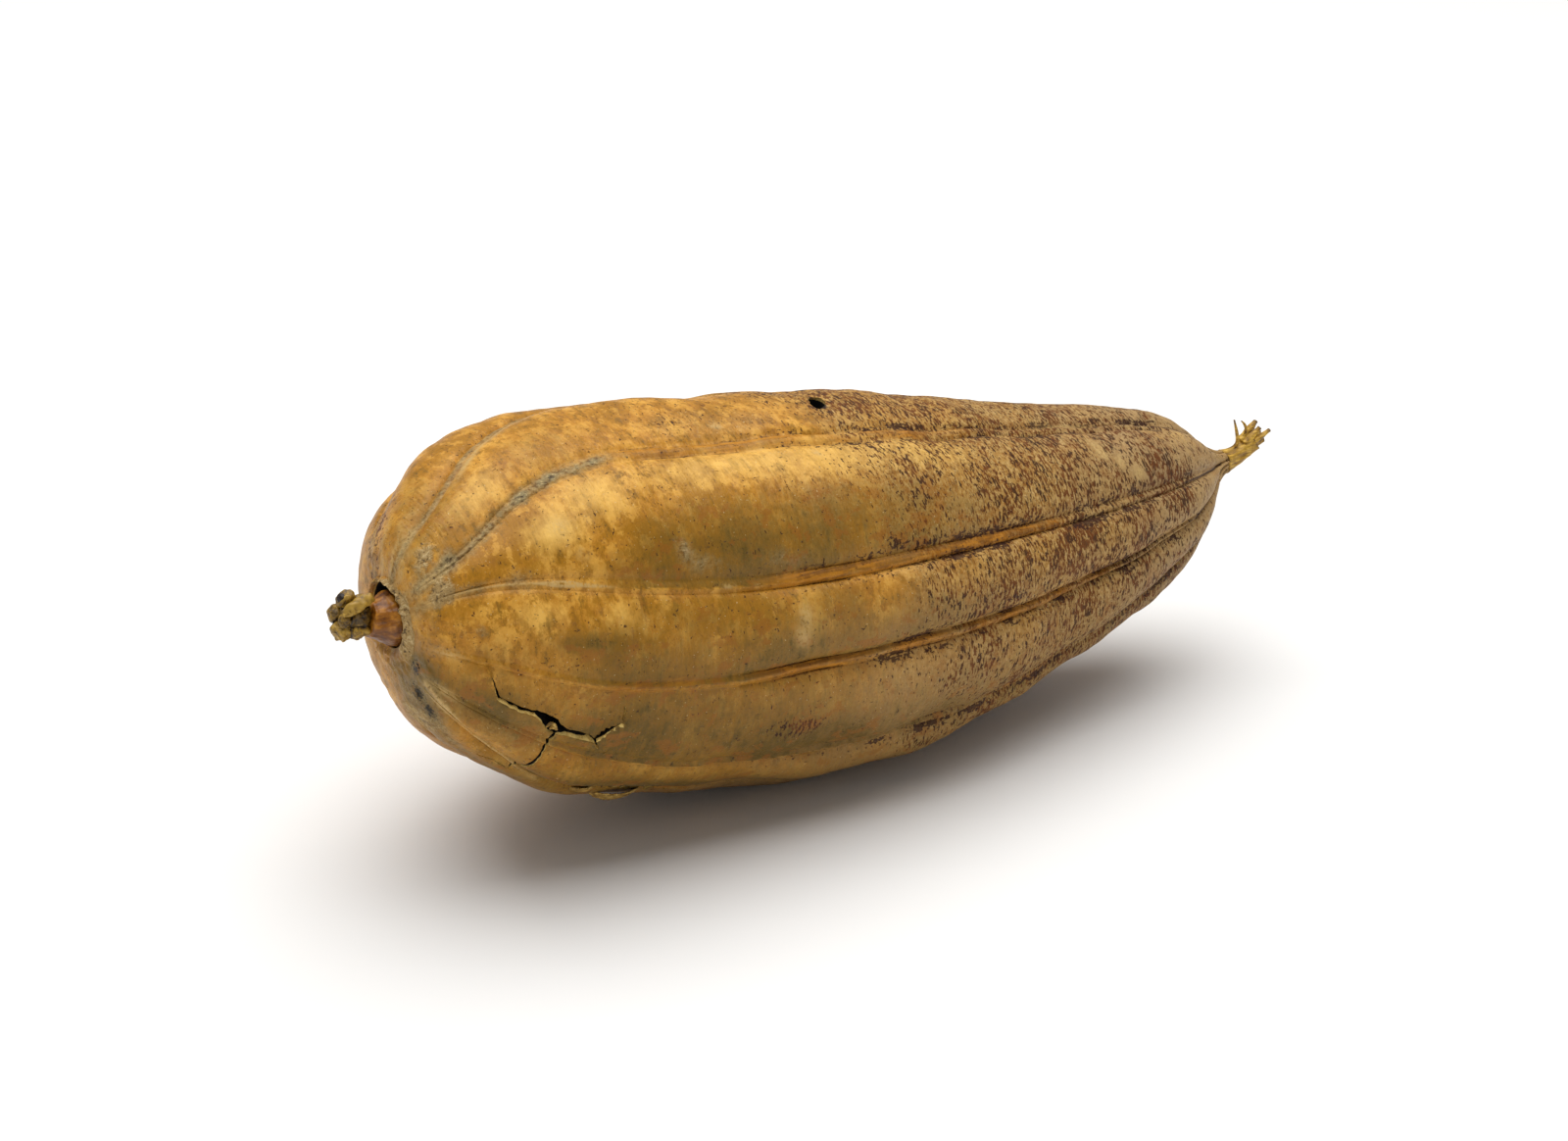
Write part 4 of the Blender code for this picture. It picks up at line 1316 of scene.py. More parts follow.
class SkinLayers:
    """Numbers that the rind's finish reads at each point of the cut skin.

    Each layer is a sum of stretches along the pod, lines beside its valleys and listed patches, all of them
    smooth steps and bells, and slow waves make them uneven.
    """

    patches: Patches = Patches()

    def __init__(self, skin: PodSkin, points: Array) -> None:
        """Find where the points lie, and read what several layers share.

        Args:
            skin: The skin.
            points: The points of its mesh, once it is cut.
        """
        self.skin, self.points = skin, points
        spots = skin.form.places_of(points)
        self.spots, self.share, self.degrees, self.beside = spots, spots.share, spots.degrees, spots.beside
        centre = skin.form.centre_line(self.share)
        self.reached = np.hypot(points[:, 1] - centre[:, 1], points[:, 2] - centre[:, 2])
        self.from_rim = (self.reached - skin.socket_radius) / MM
        self.drift = Waves(41, 0.010, 0.035).at(points)
        self.patchy = Waves(43, 0.004, 0.014).at(points)
        self.streaky = Waves(45, 0.005, 0.020, (1, 0.5, 0.5)).at(points)
        self.top_side = band(self.degrees, (20, 50), (85, 120))
        self.lower_side = smooth(0.30, 0.75, spots.place) * (spots.lobe > 1) * smooth(300, 270, self.degrees)
        self.under = band(self.degrees, (170, 215), (300, 340))
        self.upper = band(self.degrees, (20, 60), (185, 225))
        self.valley_top, self.valley_a, self.valley_b = (spots.valley == k for k in (1, 2, 3))
        self.half_cord = skin.form.cord_share * spots.width
        starts, ends, self.cord_strength = (np.array(row)[spots.valley] for row in zip(*skin.cord_runs))
        self.cord_begun = smooth(-0.03, 0.05, self.share - starts + 0.012 * self.drift)
        self.corded = self.cord_begun * smooth(0.05, -0.05, self.share - ends + 0.02 * self.drift)
        self.in_gully = skin.along(skin.gully, points, 0.7 * MM)

    def read(self) -> dict[str, Array]:
        """Work out every layer.

        Returns:
            One array for each layer, by its name.
        """
        bored = spread_over(self.share, self.degrees, *self.skin.hole_place, 0.0095, 6.5)
        return {
            "matte": np.clip(self.matte(), 0, 1),
            "dash": np.clip(self.dash(), 0, 1.3),
            "painted_shade_and_tone": np.clip(self.painted_shade_and_tone(), 0, 0.95),
            "cord": np.clip(self.cord(), 0, 0.85),
            "rut": np.clip(self.rut(), 0, 1),
            "border": np.clip(self.border(), 0, 1.2),
            "dust": np.clip(self.dust(), 0, 0.9),
            "pale": np.clip(self.pale(), 0, 0.9),
            "mauve": np.clip(self.mauve(), 0, 0.7),
            "bright": np.clip(self.laid(self.patches.bright), 0, 1),
            "crust": np.clip(self.crust(), 0, 1),
            "char": np.clip(self.char(), 0, 1),
            "faded_and_painted_bounce": np.clip(self.faded_and_painted_bounce(), 0, 1),
            "painted_crack_shade": np.clip(bored + self.painted_crack_shade(), 0, 1),
            "depth": np.clip(self.depth(), 0, 4),
            "bored": bored,
        }

    def laid(self, rows: Rows) -> Array:
        """Sum of bells on the skin, one for each row of a table of patches."""
        return sum(
            amount * spread_over(self.share, self.degrees, middle, turn, along, around)
            for middle, turn, amount, along, around in rows
        )

    def depth(self) -> Array:
        """How far a point lies below the uncut skin, in millimetres."""
        spots = self.spots
        depth = (spots.radius + self.skin.relief(spots) - self.reached) / MM
        return np.where((self.share > 0.002) & (self.points[:, 2] > 0.3 * MM), depth, 0)

    def matte(self) -> Array:
        """Dry and dull towards the stalk, sooner on the lower sides."""
        along = self.share + 0.04 * self.drift + 0.06 * self.lower_side + 0.04 * self.under
        matte = smooth(0.30, 0.62, along) * (0.88 - 0.12 * bell(self.share - 0.5, 0.1))
        return matte + self.laid(self.patches.matte)

    def dash(self) -> Array:
        """How dense the dark dashes are: most towards the stalk and on top."""
        along = self.share + 0.04 * self.drift + 0.06 * self.top_side - 0.02 * self.under
        dash = smooth(0.34, 0.62, along) * np.clip(0.85 + 0.13 * self.patchy, 0.1, 1.2)
        dash = dash * (1 - 0.5 * smooth(0.84, 0.95, self.share))
        dash = dash + 0.30 * self.top_side * band(self.share, (0.16, 0.30), (0.45, 0.60))
        dash = dash * (1 - np.clip(self.laid(self.patches.bare), 0, 1))
        return dash + self.laid(self.patches.dash)

    def cord(self) -> Array:
        """Orange cord on each valley's floor, along its run."""
        across = smooth(1.15, 0.75, self.beside / self.half_cord)
        cord = self.cord_strength * self.corded * across * (0.66 + 0.24 * self.streaky)
        return cord + self.laid(self.patches.cord)

    def rut(self) -> Array:
        """Dark line at each side of a cord, and along the valley's floor near the stalk."""
        lined = self.cord_begun * smooth(0.90, 0.84, self.share)
        across = bell(self.beside - self.half_cord - 0.1 * MM * self.streaky, 0.22 * MM)
        rut = (0.35 + 0.65 * self.cord_strength) * (0.4 * lined + 0.6 * self.corded)
        rut = rut * across * (0.55 + 0.4 * self.streaky)
        neck = band(self.share, (0.82, 0.90), (0.98, 1.0))
        return rut + 0.8 * neck * bell(self.beside, 0.30 * MM)

    def border(self) -> Array:
        """Dark crumbs in a strip outside each cord."""
        strip = bell(self.beside - self.half_cord - 0.4 * MM, 0.70 * MM)
        border = band(self.share, (0.30, 0.50), (0.84, 0.93)) * strip * (0.65 + 0.55 * self.streaky)
        return border + self.laid(self.patches.border)

    def painted_shade_and_tone(self) -> Array:
        """Painted shade in grey-olive on the lower side of each lobe and underneath, mixed with the olive
        tone there.
        """
        start = np.where(self.spots.lobe == 2, 0.05, 0.0)
        along = smooth(0.06, 0.16, self.share - start) * smooth(0.66, 0.40, self.share)
        painted_shade_and_tone = 0.72 * self.lower_side * along * (0.78 + 0.14 * self.drift)
        painted_shade_and_tone = painted_shade_and_tone + 0.28 * self.under * smooth(0.03, 0.1, self.share)
        return painted_shade_and_tone + self.laid(self.patches.painted_shade_and_tone)

    def dust(self) -> Array:
        """Grey crumbly dust in the valleys near the blossom end, round it and in the gully."""
        share, beside = self.share, self.beside
        dust = (0.8 + 0.3 * self.patchy) * self.valley_a * bell(beside, 1.1 * MM) * smooth(0.25, 0.15, share)
        dust = dust + 0.35 * self.valley_b * bell(beside, 0.9 * MM) * smooth(0.10, 0.03, share)
        dust = dust + 0.6 * self.valley_top * bell(beside, 0.8 * MM) * smooth(0.30, 0.12, share)
        dust = dust + 0.16 * smooth(0.022, 0.004, share + 0.003 * self.patchy)
        return dust + 0.45 * self.in_gully + self.laid(self.patches.dust)

    def pale(self) -> Array:
        """Bleached lines: the fold, threads in and beside the valleys, pleats and the rim."""
        share, beside, place = self.share, self.beside, self.spots.place
        fold = 0.85 * self.skin.along(self.skin.fold, self.points, 0.45 * MM)
        thread = band(share, (0.02, 0.04), (0.140, 0.165)) * (1.2 + 0.5 * self.streaky)
        thread = thread * self.valley_b * bell(beside - 0.08 * MM * self.streaky, 0.19 * MM)
        beside_a = self.valley_a * (place > 0.5) * bell(beside - 0.9 * MM, 0.3 * MM)
        beside_a = 0.8 * beside_a * bell(share - 0.74, 0.035)
        white_bits = self.valley_b * bell(beside, 0.5 * MM) * smooth(0.5, 1.3, self.patchy)
        white_bits = 0.8 * white_bits * bell(share - 0.26, 0.05)
        upper_end = bell(self.degrees - 88, 32.0) * np.exp(-np.clip(share, 0, 1) / 0.020)
        pleats = 0.7 * smooth(0.2, 0.9, self.skin.pleating(self.spots)) * upper_end
        beside_top = self.valley_top * (place < 0.5) * bell(beside - 1.9 * MM, 0.9 * MM)
        beside_top = 1.1 * beside_top * band(share, (0.05, 0.09), (0.18, 0.26))
        spokes = 0.7 * bell(beside, 0.8 * MM) * bell(share - 0.014, 0.010)
        rim = bell(self.from_rim - 1.1, 0.7) * smooth(0.05, 0.02, share) * self.upper
        pale = fold + thread + beside_a + white_bits + pleats + beside_top + spokes
        return pale + rim * (0.55 + 0.35 * self.patchy) + self.laid(self.patches.pale)

    def painted_crack_shade(self) -> Array:
        """Painted shade that makes cuts black from the top down: round the cross crack and in patches."""
        cross = next(crack for crack in self.skin.cracks if crack.name == "cross")
        near = self.skin.along(cross.path, self.points, 1.5 * MM, 0.0006)
        return 0.75 * near + self.laid(self.patches.painted_crack_shade)

    def mauve(self) -> Array:
        """Purplish stains."""
        return self.laid(self.patches.mauve) * (0.7 + 0.3 * self.patchy)

    def crust(self) -> Array:
        """Flaky crust round the socket, thickest above it."""
        ring = smooth(3.4, 1.2, self.from_rim + 0.5 * self.patchy) * smooth(0.05, 0.02, self.share)
        return (0.05 + 0.95 * self.upper) * ring + self.laid(self.patches.crust)

    def char(self) -> Array:
        """Blackened spots under the socket and in the gully."""
        return 0.22 * self.in_gully * smooth(0.08, 0.03, self.share) + self.laid(self.patches.char)

    def faded_and_painted_bounce(self) -> Array:
        """Greyer stretches near the stalk, where the rind has faded, and lighter grey along the front and the
        lower edge, painted light bounced from the floor.
        """
        faded_and_painted_bounce = 0.95 * smooth(0.66, 0.84, self.share + 0.03 * self.drift) * smooth(240, 200, self.degrees)
        faded_and_painted_bounce = faded_and_painted_bounce + 0.5 * bell(self.share - 0.45, 0.13) * smooth(150, 185, self.degrees)
        return faded_and_painted_bounce + 0.75 * bell(self.share - 0.34, 0.17) * smooth(226, 244, self.degrees)


@dataclass
class BlossomEnd:
    """Cap in the socket and the withered flower that leans out of it.

    Attributes:
        socket: Middle of the socket's mouth.
        cap_profile: Shares of the cap's radius at distances out from the mouth.
        lobes: For each lobe of the flower its distance along it, its angle round it and its
            distance from its middle line, its radius, both in millimetres, how long it is for
            its width, and how dark it is.
        sepal: Corners of a curled sepal, placed as the lobes are.
    """

    socket: Array
    cap_sink: float = 0.0027
    cap_radius: float = 0.0040
    cap_drop: float = 0.0006
    neck_reach: float = 0.0032
    neck_rise: float = 0.0007
    gap: float = -0.0002
    flower_lift: float = 0.0005
    lean: float = math.radians(13)
    columns: int = 128
    cap_profile: Path = (
        (-0.0027, 1.0), (0.0, 1.0), (0.0007, 0.93), (0.0015, 0.80), (0.0024, 0.69), (0.0032, 0.634),
    )
    lobes: Rows = (
        (2.0, 0, 0.0, 1.95, 1.15, 0.45), (3.6, 74, 2.2, 1.40, 0.95, 0.0),
        (4.3, 80, 2.35, 0.76, 1.00, 1.0), (4.0, 345, 1.8, 1.40, 0.90, -0.1),
        (3.5, 282, 2.2, 1.70, 0.95, -0.3), (1.6, 262, 1.9, 1.45, 1.20, -0.1),
        (1.7, 92, 1.8, 1.15, 1.20, 0.25), (4.0, 210, 0.9, 1.10, 0.80, 0.15),
        (2.0, 20, 1.6, 1.20, 1.20, 0.2), (2.2, 330, 1.7, 1.10, 1.10, 0.1),
    )
    sepal: Rows = ((4.3, 158, 1.0), (3.5, 140, 1.9), (2.2, 124, 2.7), (0.7, 108, 3.1))
    sepal_radius: float = 0.00085

    def build(self) -> None:
        """Make and dress the cap and the flower."""
        dress("cap_cone", [self.cap_rings()], self.cap_finish(), "blossom_cap")
        dress("flower_stub", self.flower_parts(), self.flower_finish(), "flower_remnant")

    def cap_finish(self) -> DryTissueFinish:
        """Glossy orange brown, with fine fibres along the cone."""
        return DryTissueFinish(
            "dry cap",
            light=rgb(192, 126, 34),
            middle=rgb(146, 88, 16),
            dark=rgb(74, 34, 6),
            grain=(0.0030, 0.0009, 0.0009),
            roughness=0.34,
            relief=0.03,
        )

    def flower_finish(self) -> DryTissueFinish:
        """Olive yellow to brown, with crumbly grains."""
        return DryTissueFinish(
            "withered flower",
            light=rgb(184, 146, 58),
            middle=rgb(128, 96, 26),
            dark=rgb(30, 16, 6),
            grain=(0.0010, 0.0008, 0.0008),
            roughness=0.45,
            relief=0.08,
        )

    def leaned(self, centre: Array, radius: Array, lean: Array, turns: Array) -> Array:
        """Rings around centres, each tipped up by its lean, facing -X where that is 0."""
        side = np.array([0.0, 1.0, 0.0])
        up = np.stack([np.sin(lean), 0 * lean, np.cos(lean)], axis=-1)[:, None]
        flat = np.cos(turns)[None, :, None] * side + np.sin(turns)[None, :, None] * up
        return centre[:, None] + radius[..., None] * flat

    def cap_rings(self) -> tuple[Array, Array]:
        """Rings of the cap and how dark each point is: a cone with ridges that run along it, with painted
        shade in the grooves between the ridges, down inside the socket and on its lower side.

        The radius follows the profile, and 0.05 mm times a random wave that is drawn out along X
        and 0.015 mm times a finer one are added to it outside the socket.
        """
        reach = np.linspace(-self.cap_sink, self.neck_reach, 60)
        turns = full_turn(self.columns)
        share = np.clip(reach / self.neck_reach, 0, 1)
        radius = self.cap_radius * np.interp(reach, *zip(*self.cap_profile))
        base = self.socket + (0, 0, -self.cap_drop)
        centre = base + np.stack([-reach, 0 * reach, self.neck_rise * share**2], axis=-1)
        plain = self.leaned(centre, np.tile(radius[:, None], self.columns), self.lean * share**2, turns)
        ridges = Waves(51, 0.0008, 0.0022, (6, 1, 1)).at(plain)
        rough = Waves(52, 0.0005, 0.0012).at(plain)
        shown = smooth(-0.0012, 0.0003, reach)[:, None] * (1 - 0.6 * smooth(0.9, 1.0, share)[:, None])
        uneven = radius[:, None] + shown * MM * (0.05 * ridges + 0.015 * rough)
        # painted shade on the lower side of the cap
        low = bell(np.degrees(turns) - 235, 45.0)[None, :]
        # painted shade in the grooves between the ridges and down inside the socket
        crease = shown * 0.25 * smooth(-0.6, -1.8, ridges) + 0.8 * smooth(0.0002, -0.0010, reach)[:, None]
        crease = crease + 0.7 * shown * low
        return self.leaned(centre, uneven, self.lean * share**2, turns), np.clip(crease, 0, 1)

    def on_flower(self, along: float, degrees: float, out: float) -> Array:
        """Point at millimetres along the flower, an angle round it and millimetres from it."""
        ahead, side, up = self.flower_axes()
        start = self.socket + (-self.neck_reach, 0, self.neck_rise - self.cap_drop + self.flower_lift)
        angle = math.radians(degrees)
        way = along * ahead + out * (math.cos(angle) * side + math.sin(angle) * up)
        return start + ahead * self.gap + MM * way

    def flower_axes(self) -> Array:
        """Directions along the flower, to its side and up from it."""
        cosine, sine = math.cos(self.lean), math.sin(self.lean)
        return np.array([(-cosine, 0.0, sine), (0.0, 1.0, 0.0), (sine, 0.0, cosine)])

    def flower_parts(self) -> list[tuple[Array, Array]]:
        """Parts of the withered flower: crumpled lobes and a curled sepal.

        Returns:
            For each part its rings, and how dark each point is.
        """
        centres = np.array([self.on_flower(*lobe[:3]) for lobe in self.lobes])
        sizes = np.array([lobe[3] for lobe in self.lobes]) * MM
        lobes = [self.lobe(number, centres, sizes) for number in range(len(self.lobes))]
        return [*lobes, self.sepal_part()]

    def lobe(self, number: int, centres: Array, sizes: Array) -> tuple[Array, Array]:
        """One crumpled lobe of the flower.

        It is a ball whose radius swells with random waves and has creases where one of them passes through
        zero. Painted shade darkens a point where other lobes are near it and in the creases, over the lobe's
        own darkness.

        Args:
            number: Number of the lobe.
            centres: Middles of all lobes.
            sizes: Radii of all lobes.

        Returns:
            Its rings, and how dark each point is.
        """
        long, dark = self.lobes[number][4:]
        turn = full_turn(56)[None, :]
        height = np.linspace(-math.pi / 2, math.pi / 2, 42)[1:-1, None]
        wide = np.cos(height)
        ball = np.stack([np.sin(height) + 0 * turn, wide * np.cos(turn), wide * np.sin(turn)], axis=-1)
        centre, size = centres[number], sizes[number]
        plain = centre + (ball * (long, 1.0, 1.0) * size) @ self.flower_axes()
        crumple = Waves(61 + number, 0.0010, 0.0024).at(plain)
        fine = Waves(81 + number, 0.0004, 0.0009).at(plain)
        cut = bell(crumple, 0.20)
        scale = 1 + (0.07 * crumple + 0.02 * fine) - 0.10 * cut
        rings = centre + (plain - centre) * scale[..., None]
        others = np.delete(np.arange(len(centres)), number)
        gaps = np.linalg.norm(rings[:, :, None] - centres[others], axis=-1) / sizes[others]
        # painted shade where other lobes come near
        shade_between_lobes = smooth(1.18, 0.95, gaps.min(axis=-1))
        return rings, np.clip(shade_between_lobes + 0.35 * cut + dark, -1, 1)

    def sepal_part(self) -> tuple[Array, Array]:
        """The curled sepal: a folded tube along a spline, pale on its folds, with painted shade in the
        grooves between them.
        """
        path = spline_path(np.array([self.on_flower(*corner) for corner in self.sepal]), 30)
        angle = full_turn(20)
        thick = self.sepal_radius * (0.75 + 0.25 * np.sin(math.pi * np.linspace(0, 1, len(path))))
        thick = thick[:, None] * (1 + 0.15 * np.cos(3 * angle + 1))
        beside = np.array([0.2, 0.1, 1.0])
        folds = Waves(72, 0.0008, 0.0018).at(tube(path, thick, angle, beside))
        rings = tube(path, thick * (1 + 0.13 * folds), angle, beside)
        # painted shade in the grooves between the folds
        return rings, -0.75 + 0.9 * bell(folds + 0.8, 0.35)


@dataclass
class FrayedStalk:
    """Fluted stalk stub that bends upwards and frays into strands and fibres.

    Attributes:
        start: Middle of its foot.
        radii: Its radius at shares of its length.
        strand_rows: For each strand its angle round the top, how far it stands out, how far it
            leans outwards, and its thickness as a share of the strand radius.
        fibre_rows: For each fibre the share of the stalk's length where it stands, its corners
            as steps from its foot, and its thickness as a share of the fibre radius.
    """

    start: Array
    length: float = 0.0072
    radii: Path = ((0.0, 0.0023), (0.25, 0.0019), (0.5, 0.00175), (1.0, 0.0020))
    start_lean: float = math.radians(8)
    end_lean: float = math.radians(34)
    flutes: int = 5
    flute_depth: float = 0.12
    columns: int = 120
    strand_rows: Rows = (
        (75, 0.0030, 0.0005, 1.15), (135, 0.0022, 0.0007, 1.0), (190, 0.0034, 0.0007, 1.05),
        (248, 0.0020, 0.0008, 1.15), (305, 0.0031, 0.0006, 1.0), (10, 0.0026, 0.0004, 1.1),
        (50, 0.0033, 0.0001, 0.7),
    )
    strand_radius: float = 0.0006
    strand_ring: float = 0.0011
    strand_sink: float = 0.0018
    strand_bend: float = 0.0020
    fibre_rows: tuple[tuple[float, Rows, float], ...] = (
        (0.50, ((0, 0, 0), (0.0002, -0.0004, 0.0018), (-0.00075, -0.0003, 0.0054)), 1.0),
        (0.75, ((0, 0, 0), (0.0008, -0.0001, 0.0018), (0.0006, 0.0, 0.0031), (-0.0002, 0.0001, 0.0039)), 0.8),
    )
    fibre_radius: float = 0.0003
    fibre_rise: float = 0.0010

    def line(self, share: Array) -> tuple[Array, Array]:
        """Middle of the stalk at rising shares of its length, and its lean there."""
        lean = self.start_lean + (self.end_lean - self.start_lean) * share
        steps = np.diff(share, prepend=0.0) * self.length
        x = self.start[0] + np.cumsum(steps * np.cos(lean))
        z = self.start[2] + np.cumsum(steps * np.sin(lean))
        return np.stack([x, np.full_like(x, self.start[1]), z], axis=-1), lean

    def build(self) -> None:
        """Make and dress the stem with its strands and fibres."""
        finish = DryTissueFinish(
            "dry stalk",
            light=rgb(216, 174, 70),
            middle=rgb(172, 130, 36),
            dark=rgb(84, 52, 12),
            grain=(0.0030, 0.0005, 0.0005),
            roughness=0.5,
            relief=0.08,
        )
        dress("stalk_fibres", [self.stem_rings(), *self.strands()], finish, "stalk")

    def stem_rings(self) -> tuple[Array, Array]:
        """Rings of the stem: five soft flutes, fibres drawn out along X and a ragged top, with painted shade
        in the grooves between the fibres and at the top, inside the ring of strands.
        """
        share = np.linspace(0, 1, 70)
        centre, lean = self.line(share)
        turns = full_turn(self.columns)
        radius = natural_spline(*zip(*self.radii), share)
        flute = 1 - self.flute_depth * (0.5 - 0.5 * np.cos(self.flutes * turns))
        lean = np.where(share > 0, lean, 0)
        up = np.stack([-np.sin(lean), 0 * lean, np.cos(lean)], axis=-1)[:, None]
        flat = (np.cos(turns) * flute)[None, :, None] * np.array([0.0, 1.0, 0.0])
        flat = flat + (np.sin(turns) * flute)[None, :, None] * up
        plain = centre[:, None] + radius[:, None, None] * flat
        fibres = Waves(71, 0.0005, 0.0014, (9, 1, 1)).at(plain)
        scale = 1 + (smooth(0.0, 0.1, share)[:, None] * 0.03 * fibres)
        rings = centre[:, None] + (radius[:, None] * scale)[..., None] * flat
        # painted shade in the grooves between the fibres and at the top, inside the ring of strands
        return rings, smooth(-0.8, -2.0, fibres) * 0.5 + smooth(0.93, 1.0, share)[:, None] * 0.8

    def strands(self) -> list[tuple[Array, Array]]:
        """Frayed strands round the stalk's top, and the fibres that stand up from it.

        Returns:
            For each strand its rings, and how dark each point is, most at the torn tip.
        """
        random = np.random.default_rng(81)
        ends, lean = self.line(np.array([0.0, *(row[0] for row in self.fibre_rows), 1.0]))
        top, tip = ends[-1], lean[-1]
        ahead = np.array([math.cos(tip), 0.0, math.sin(tip)])
        up = np.array([-math.sin(tip), 0.0, math.cos(tip)])
        side = np.array([0.0, 1.0, 0.0])
        made = []
        for turn, reach, lean_out, size in self.strand_rows:
            spot = side * math.cos(math.radians(turn)) + up * math.sin(math.radians(turn))
            foot = top + spot * self.strand_ring - ahead * self.strand_sink
            bend = foot + ahead * self.strand_bend + spot * 0.0001
            end = foot + ahead * (self.strand_sink + reach) + spot * lean_out
            corners = np.array([foot, bend, end])
            made.append(self.strand(corners, self.strand_radius * size, random, turns=24, taper=0.55))
        for foot, (_, steps, size) in zip(ends[1:], self.fibre_rows):
            corners = foot + up * self.fibre_rise + np.array(steps)
            made.append(self.strand(corners, self.fibre_radius * size, random, turns=12, taper=0.5))
        return made

    def strand(
        self, corners: Array, radius: float, random: np.random.Generator, turns: int, taper: float
    ) -> tuple[Array, Array]:
        """Carry an uneven ring along a spline through corners.

        Args:
            corners: Corners of the strand's path.
            radius: Its radius at the foot.
            random: Source of its unevenness.
            turns: Points around it.
            taper: Share of the radius that is left at its tip.

        Returns:
            Its rings, and how dark each point is.
        """
        path = spline_path(corners, 26)
        share = np.linspace(0, 1, len(path))
        angle = full_turn(turns)
        phase = random.uniform(0, 2 * math.pi, 3)
        ribs = 1 + 0.16 * np.cos(3 * angle + phase[0]) + 0.08 * np.cos(5 * angle + phase[1])
        thin = 1 - (1 - taper) * smooth(0.55, 1.0, share) + 0.08 * np.cos(9 * share + phase[2])
        rings = tube(path, radius * thin[:, None] * ribs, angle, np.array([0.15, 1.0, 0.1]))
        dark = np.tile(smooth(0.86, 1.0, share)[:, None] * 0.8, turns)
        return rings, dark


@dataclass
class TornRind:
    """Flakes of rind that hang at the lower tear, and bits of pith in the widest crack.

    Attributes:
        flakes: For each flake its share, degrees, length, width, lift off the skin and seed.
    """

    skin: PodSkin
    thickness: float = 0.00045
    flakes: Rows = (
        (0.200, 246.0, 0.0080, 0.0026, 0.0010, 91),
        (0.160, 242.0, 0.0040, 0.0014, 0.0005, 92),
        (0.0905, 202.3, 0.0016, 0.0008, -0.0006, 93),
        (0.0925, 203.0, 0.0012, 0.0006, -0.0003, 94),
    )

    def build(self) -> None:
        """Make and dress the flakes."""
        shells = [self.flake(*flake) for flake in self.flakes]
        parts = [(rings, np.zeros(rings.shape[:2])) for rings in shells]
        finish = DryTissueFinish(
            "torn rind",
            light=rgb(214, 180, 100),
            middle=rgb(160, 122, 52),
            dark=rgb(70, 48, 24),
            grain=(0.0012, 0.0006, 0.0006),
            roughness=0.7,
        )
        dress("rind_flakes", parts, finish)

    def flake(
        self, share: float, degrees: float, length: float, width: float, lift: float, seed: int
    ) -> Array:
        """Rings of a thin curled flake, carried along its length.

        Each ring is a flat oval that narrows to both ends. Its middle stands off the skin by
        lift * (1 - t^2), where t runs from -1 to 1 along the flake.
        """
        random = np.random.default_rng(seed)
        spots = self.skin.form.spots(np.array([share]), np.array([degrees]))
        centre, out = (part[0] for part in self.skin.frame_on(spots))
        along = unit(np.array([1.0, 0.0, 0.0]) - out * out[0])
        across = np.cross(out, along)
        t = np.linspace(-1, 1, 40)
        angle = full_turn(24)
        path = centre + np.outer(t * length / 2, along) + np.outer(lift * (1 - t**2), out)
        broad = width / 2 * np.sqrt(np.clip(1.02 - t**4, 0, 1)) * (1 + 0.18 * random.normal(size=len(t)))
        thin = self.thickness / 2 * np.sqrt(np.clip(1.02 - t**6, 0, 1))
        wide = np.cos(angle)[None, :, None] * across * broad[:, None, None]
        tall = np.sin(angle)[None, :, None] * out * thin[:, None, None]
        return path[:, None] + wide + tall


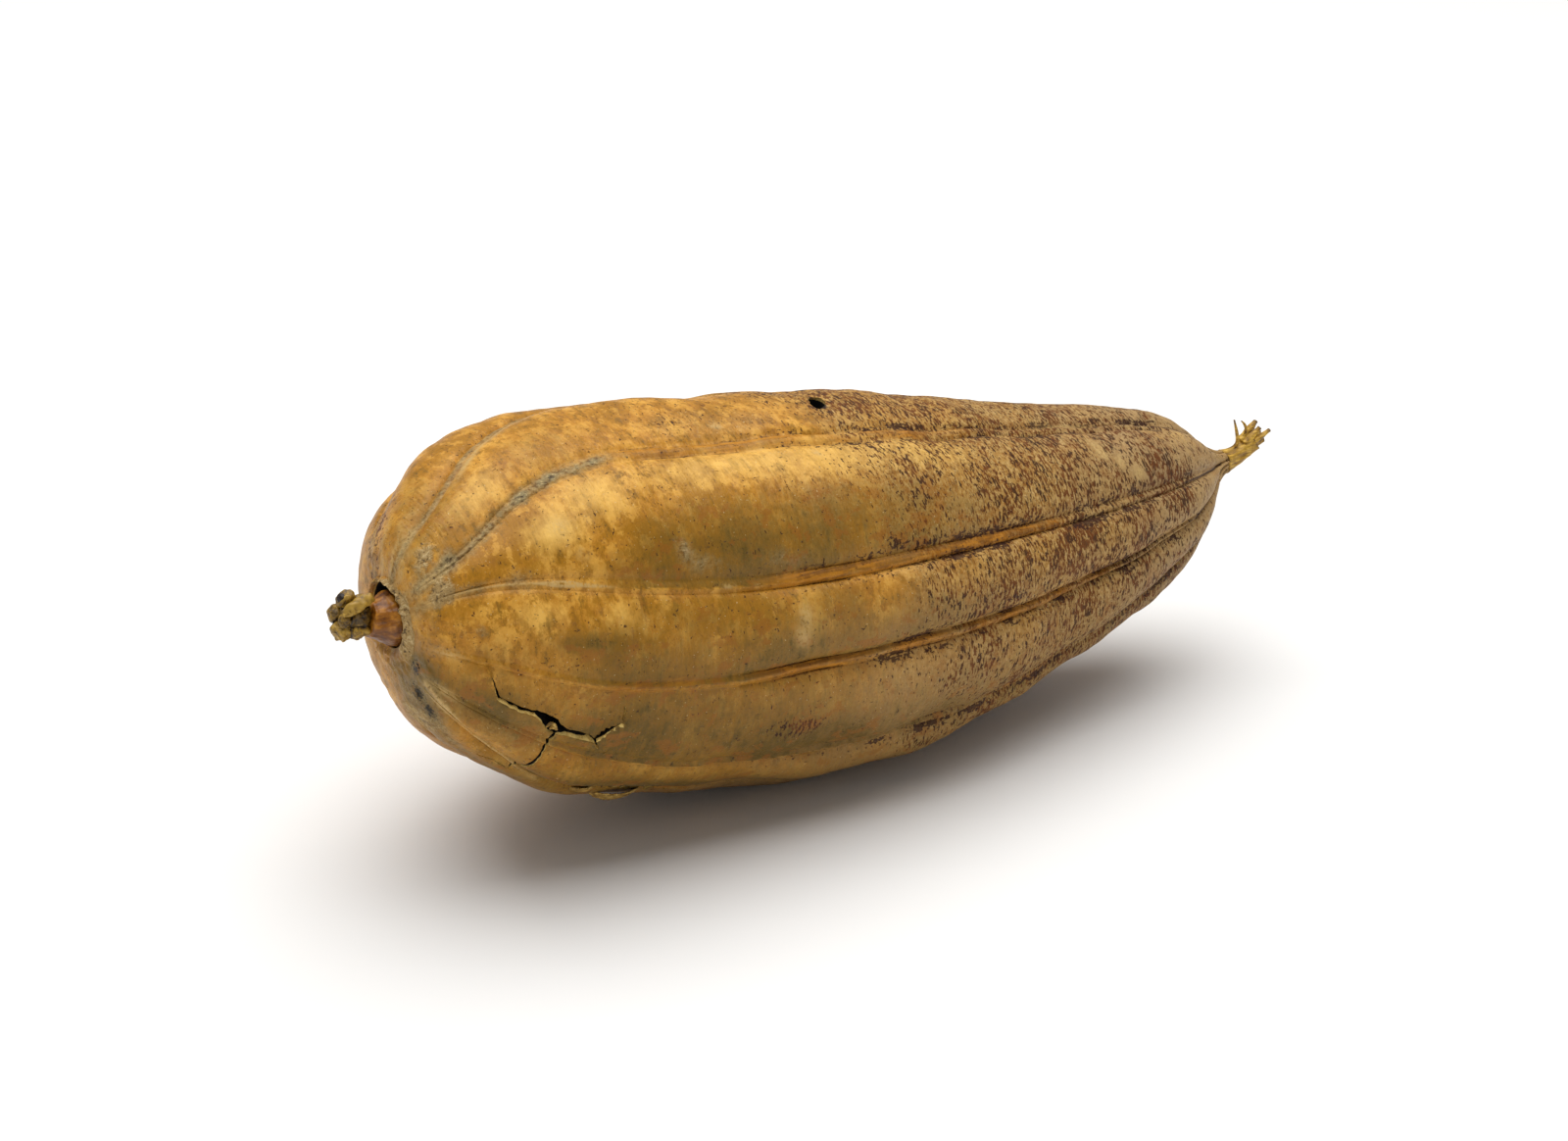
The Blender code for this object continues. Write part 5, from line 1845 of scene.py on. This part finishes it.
@dataclass
class Studio:
    """Pale floor, soft light from above and a camera at the photograph's angle."""

    azimuth: float = -34.385
    elevation: float = 21.042
    distance: float = 0.41506
    aim: tuple[float, float, float] = (-0.00884, 0.00276, 0.03064)
    lens: float = 60.0
    sensor: float = 36.0
    floor_size: float = 6.0
    floor_drop: float = 0.0001
    light_place: tuple[float, float, float] = (0.05, 0.20, 1.60)
    light_size: float = 2.1
    light_power: float = 40.0
    fill: float = 0.29

    def build(self) -> None:
        """Set up the camera, the floor, the light and the pale surroundings."""
        self.camera()
        self.floor()
        self.light()
        self.surroundings()

    def camera(self) -> None:
        """Place the camera on its line of sight, level, without shift or blur."""
        turn, rise = math.radians(self.azimuth), math.radians(self.elevation)
        back = Vector((math.sin(turn) * math.cos(rise), -math.cos(turn) * math.cos(rise), math.sin(rise)))
        data = bpy.data.cameras.new("camera")
        data.lens = self.lens
        data.sensor_width = self.sensor
        data.clip_start, data.clip_end = 0.01, 20.0
        eye = placed("camera", data)
        eye.location = Vector(self.aim) + back * self.distance
        eye.rotation_euler = (-back).to_track_quat("-Z", "Y").to_euler()
        bpy.context.scene.camera = eye

    def floor(self) -> None:
        """Lay a plain pale floor under the pod."""
        half = self.floor_size / 2
        low = -self.floor_drop
        corners = [(-half, -half, low), (half, -half, low), (half, half, low), (-half, half, low)]
        mesh = bpy.data.meshes.new("floor")
        mesh.from_pydata(corners, [], [(0, 1, 2, 3)])
        made = Recipe("pale floor", specular=0.2)
        tone = made.noise((0.3, 0.3, 0.3), 1)
        colour = made.blend(rgb(240, 239, 237), rgb(244, 243, 241), tone)
        mesh.materials.append(made.finish(colour, 0.9, 0.0 * tone))
        placed("floor", mesh)

    def light(self) -> None:
        """Hang a large, soft, square light that faces the pod."""
        data = bpy.data.lights.new("key", "AREA")
        data.shape = "SQUARE"
        data.size = self.light_size
        data.energy = self.light_power
        light = placed("key", data)
        light.location = self.light_place
        way = Vector(self.aim) - Vector(self.light_place)
        light.rotation_euler = way.to_track_quat("-Z", "Y").to_euler()

    def surroundings(self) -> None:
        """Fill the room with even white light and show colours as they are."""
        world = bpy.data.worlds.new("surroundings")
        world.use_nodes = True
        backdrop = world.node_tree.nodes["Background"]
        backdrop.inputs["Color"].default_value = (1.0, 1.0, 1.0, 1.0)
        backdrop.inputs["Strength"].default_value = self.fill
        bpy.context.scene.world = world
        bpy.context.scene.view_settings.view_transform = "Standard"


def main() -> None:
    """Set up the studio and dress the pod piece by piece."""
    logging.basicConfig(level=logging.INFO, format="%(name)s: %(message)s")
    Studio().build()
    form = PodForm()
    skin = PodSkin(form)
    skin.build()
    socket = form.centre_line(0.0) + (0, skin.socket_side, skin.socket_rise)
    BlossomEnd(socket).build()
    FrayedStalk(form.centre_line(1.0) + (STALK_GAP, 0, 0)).build()
    TornRind(skin).build()
    log.info("sizes written")


if __name__ == "__main__":
    main()
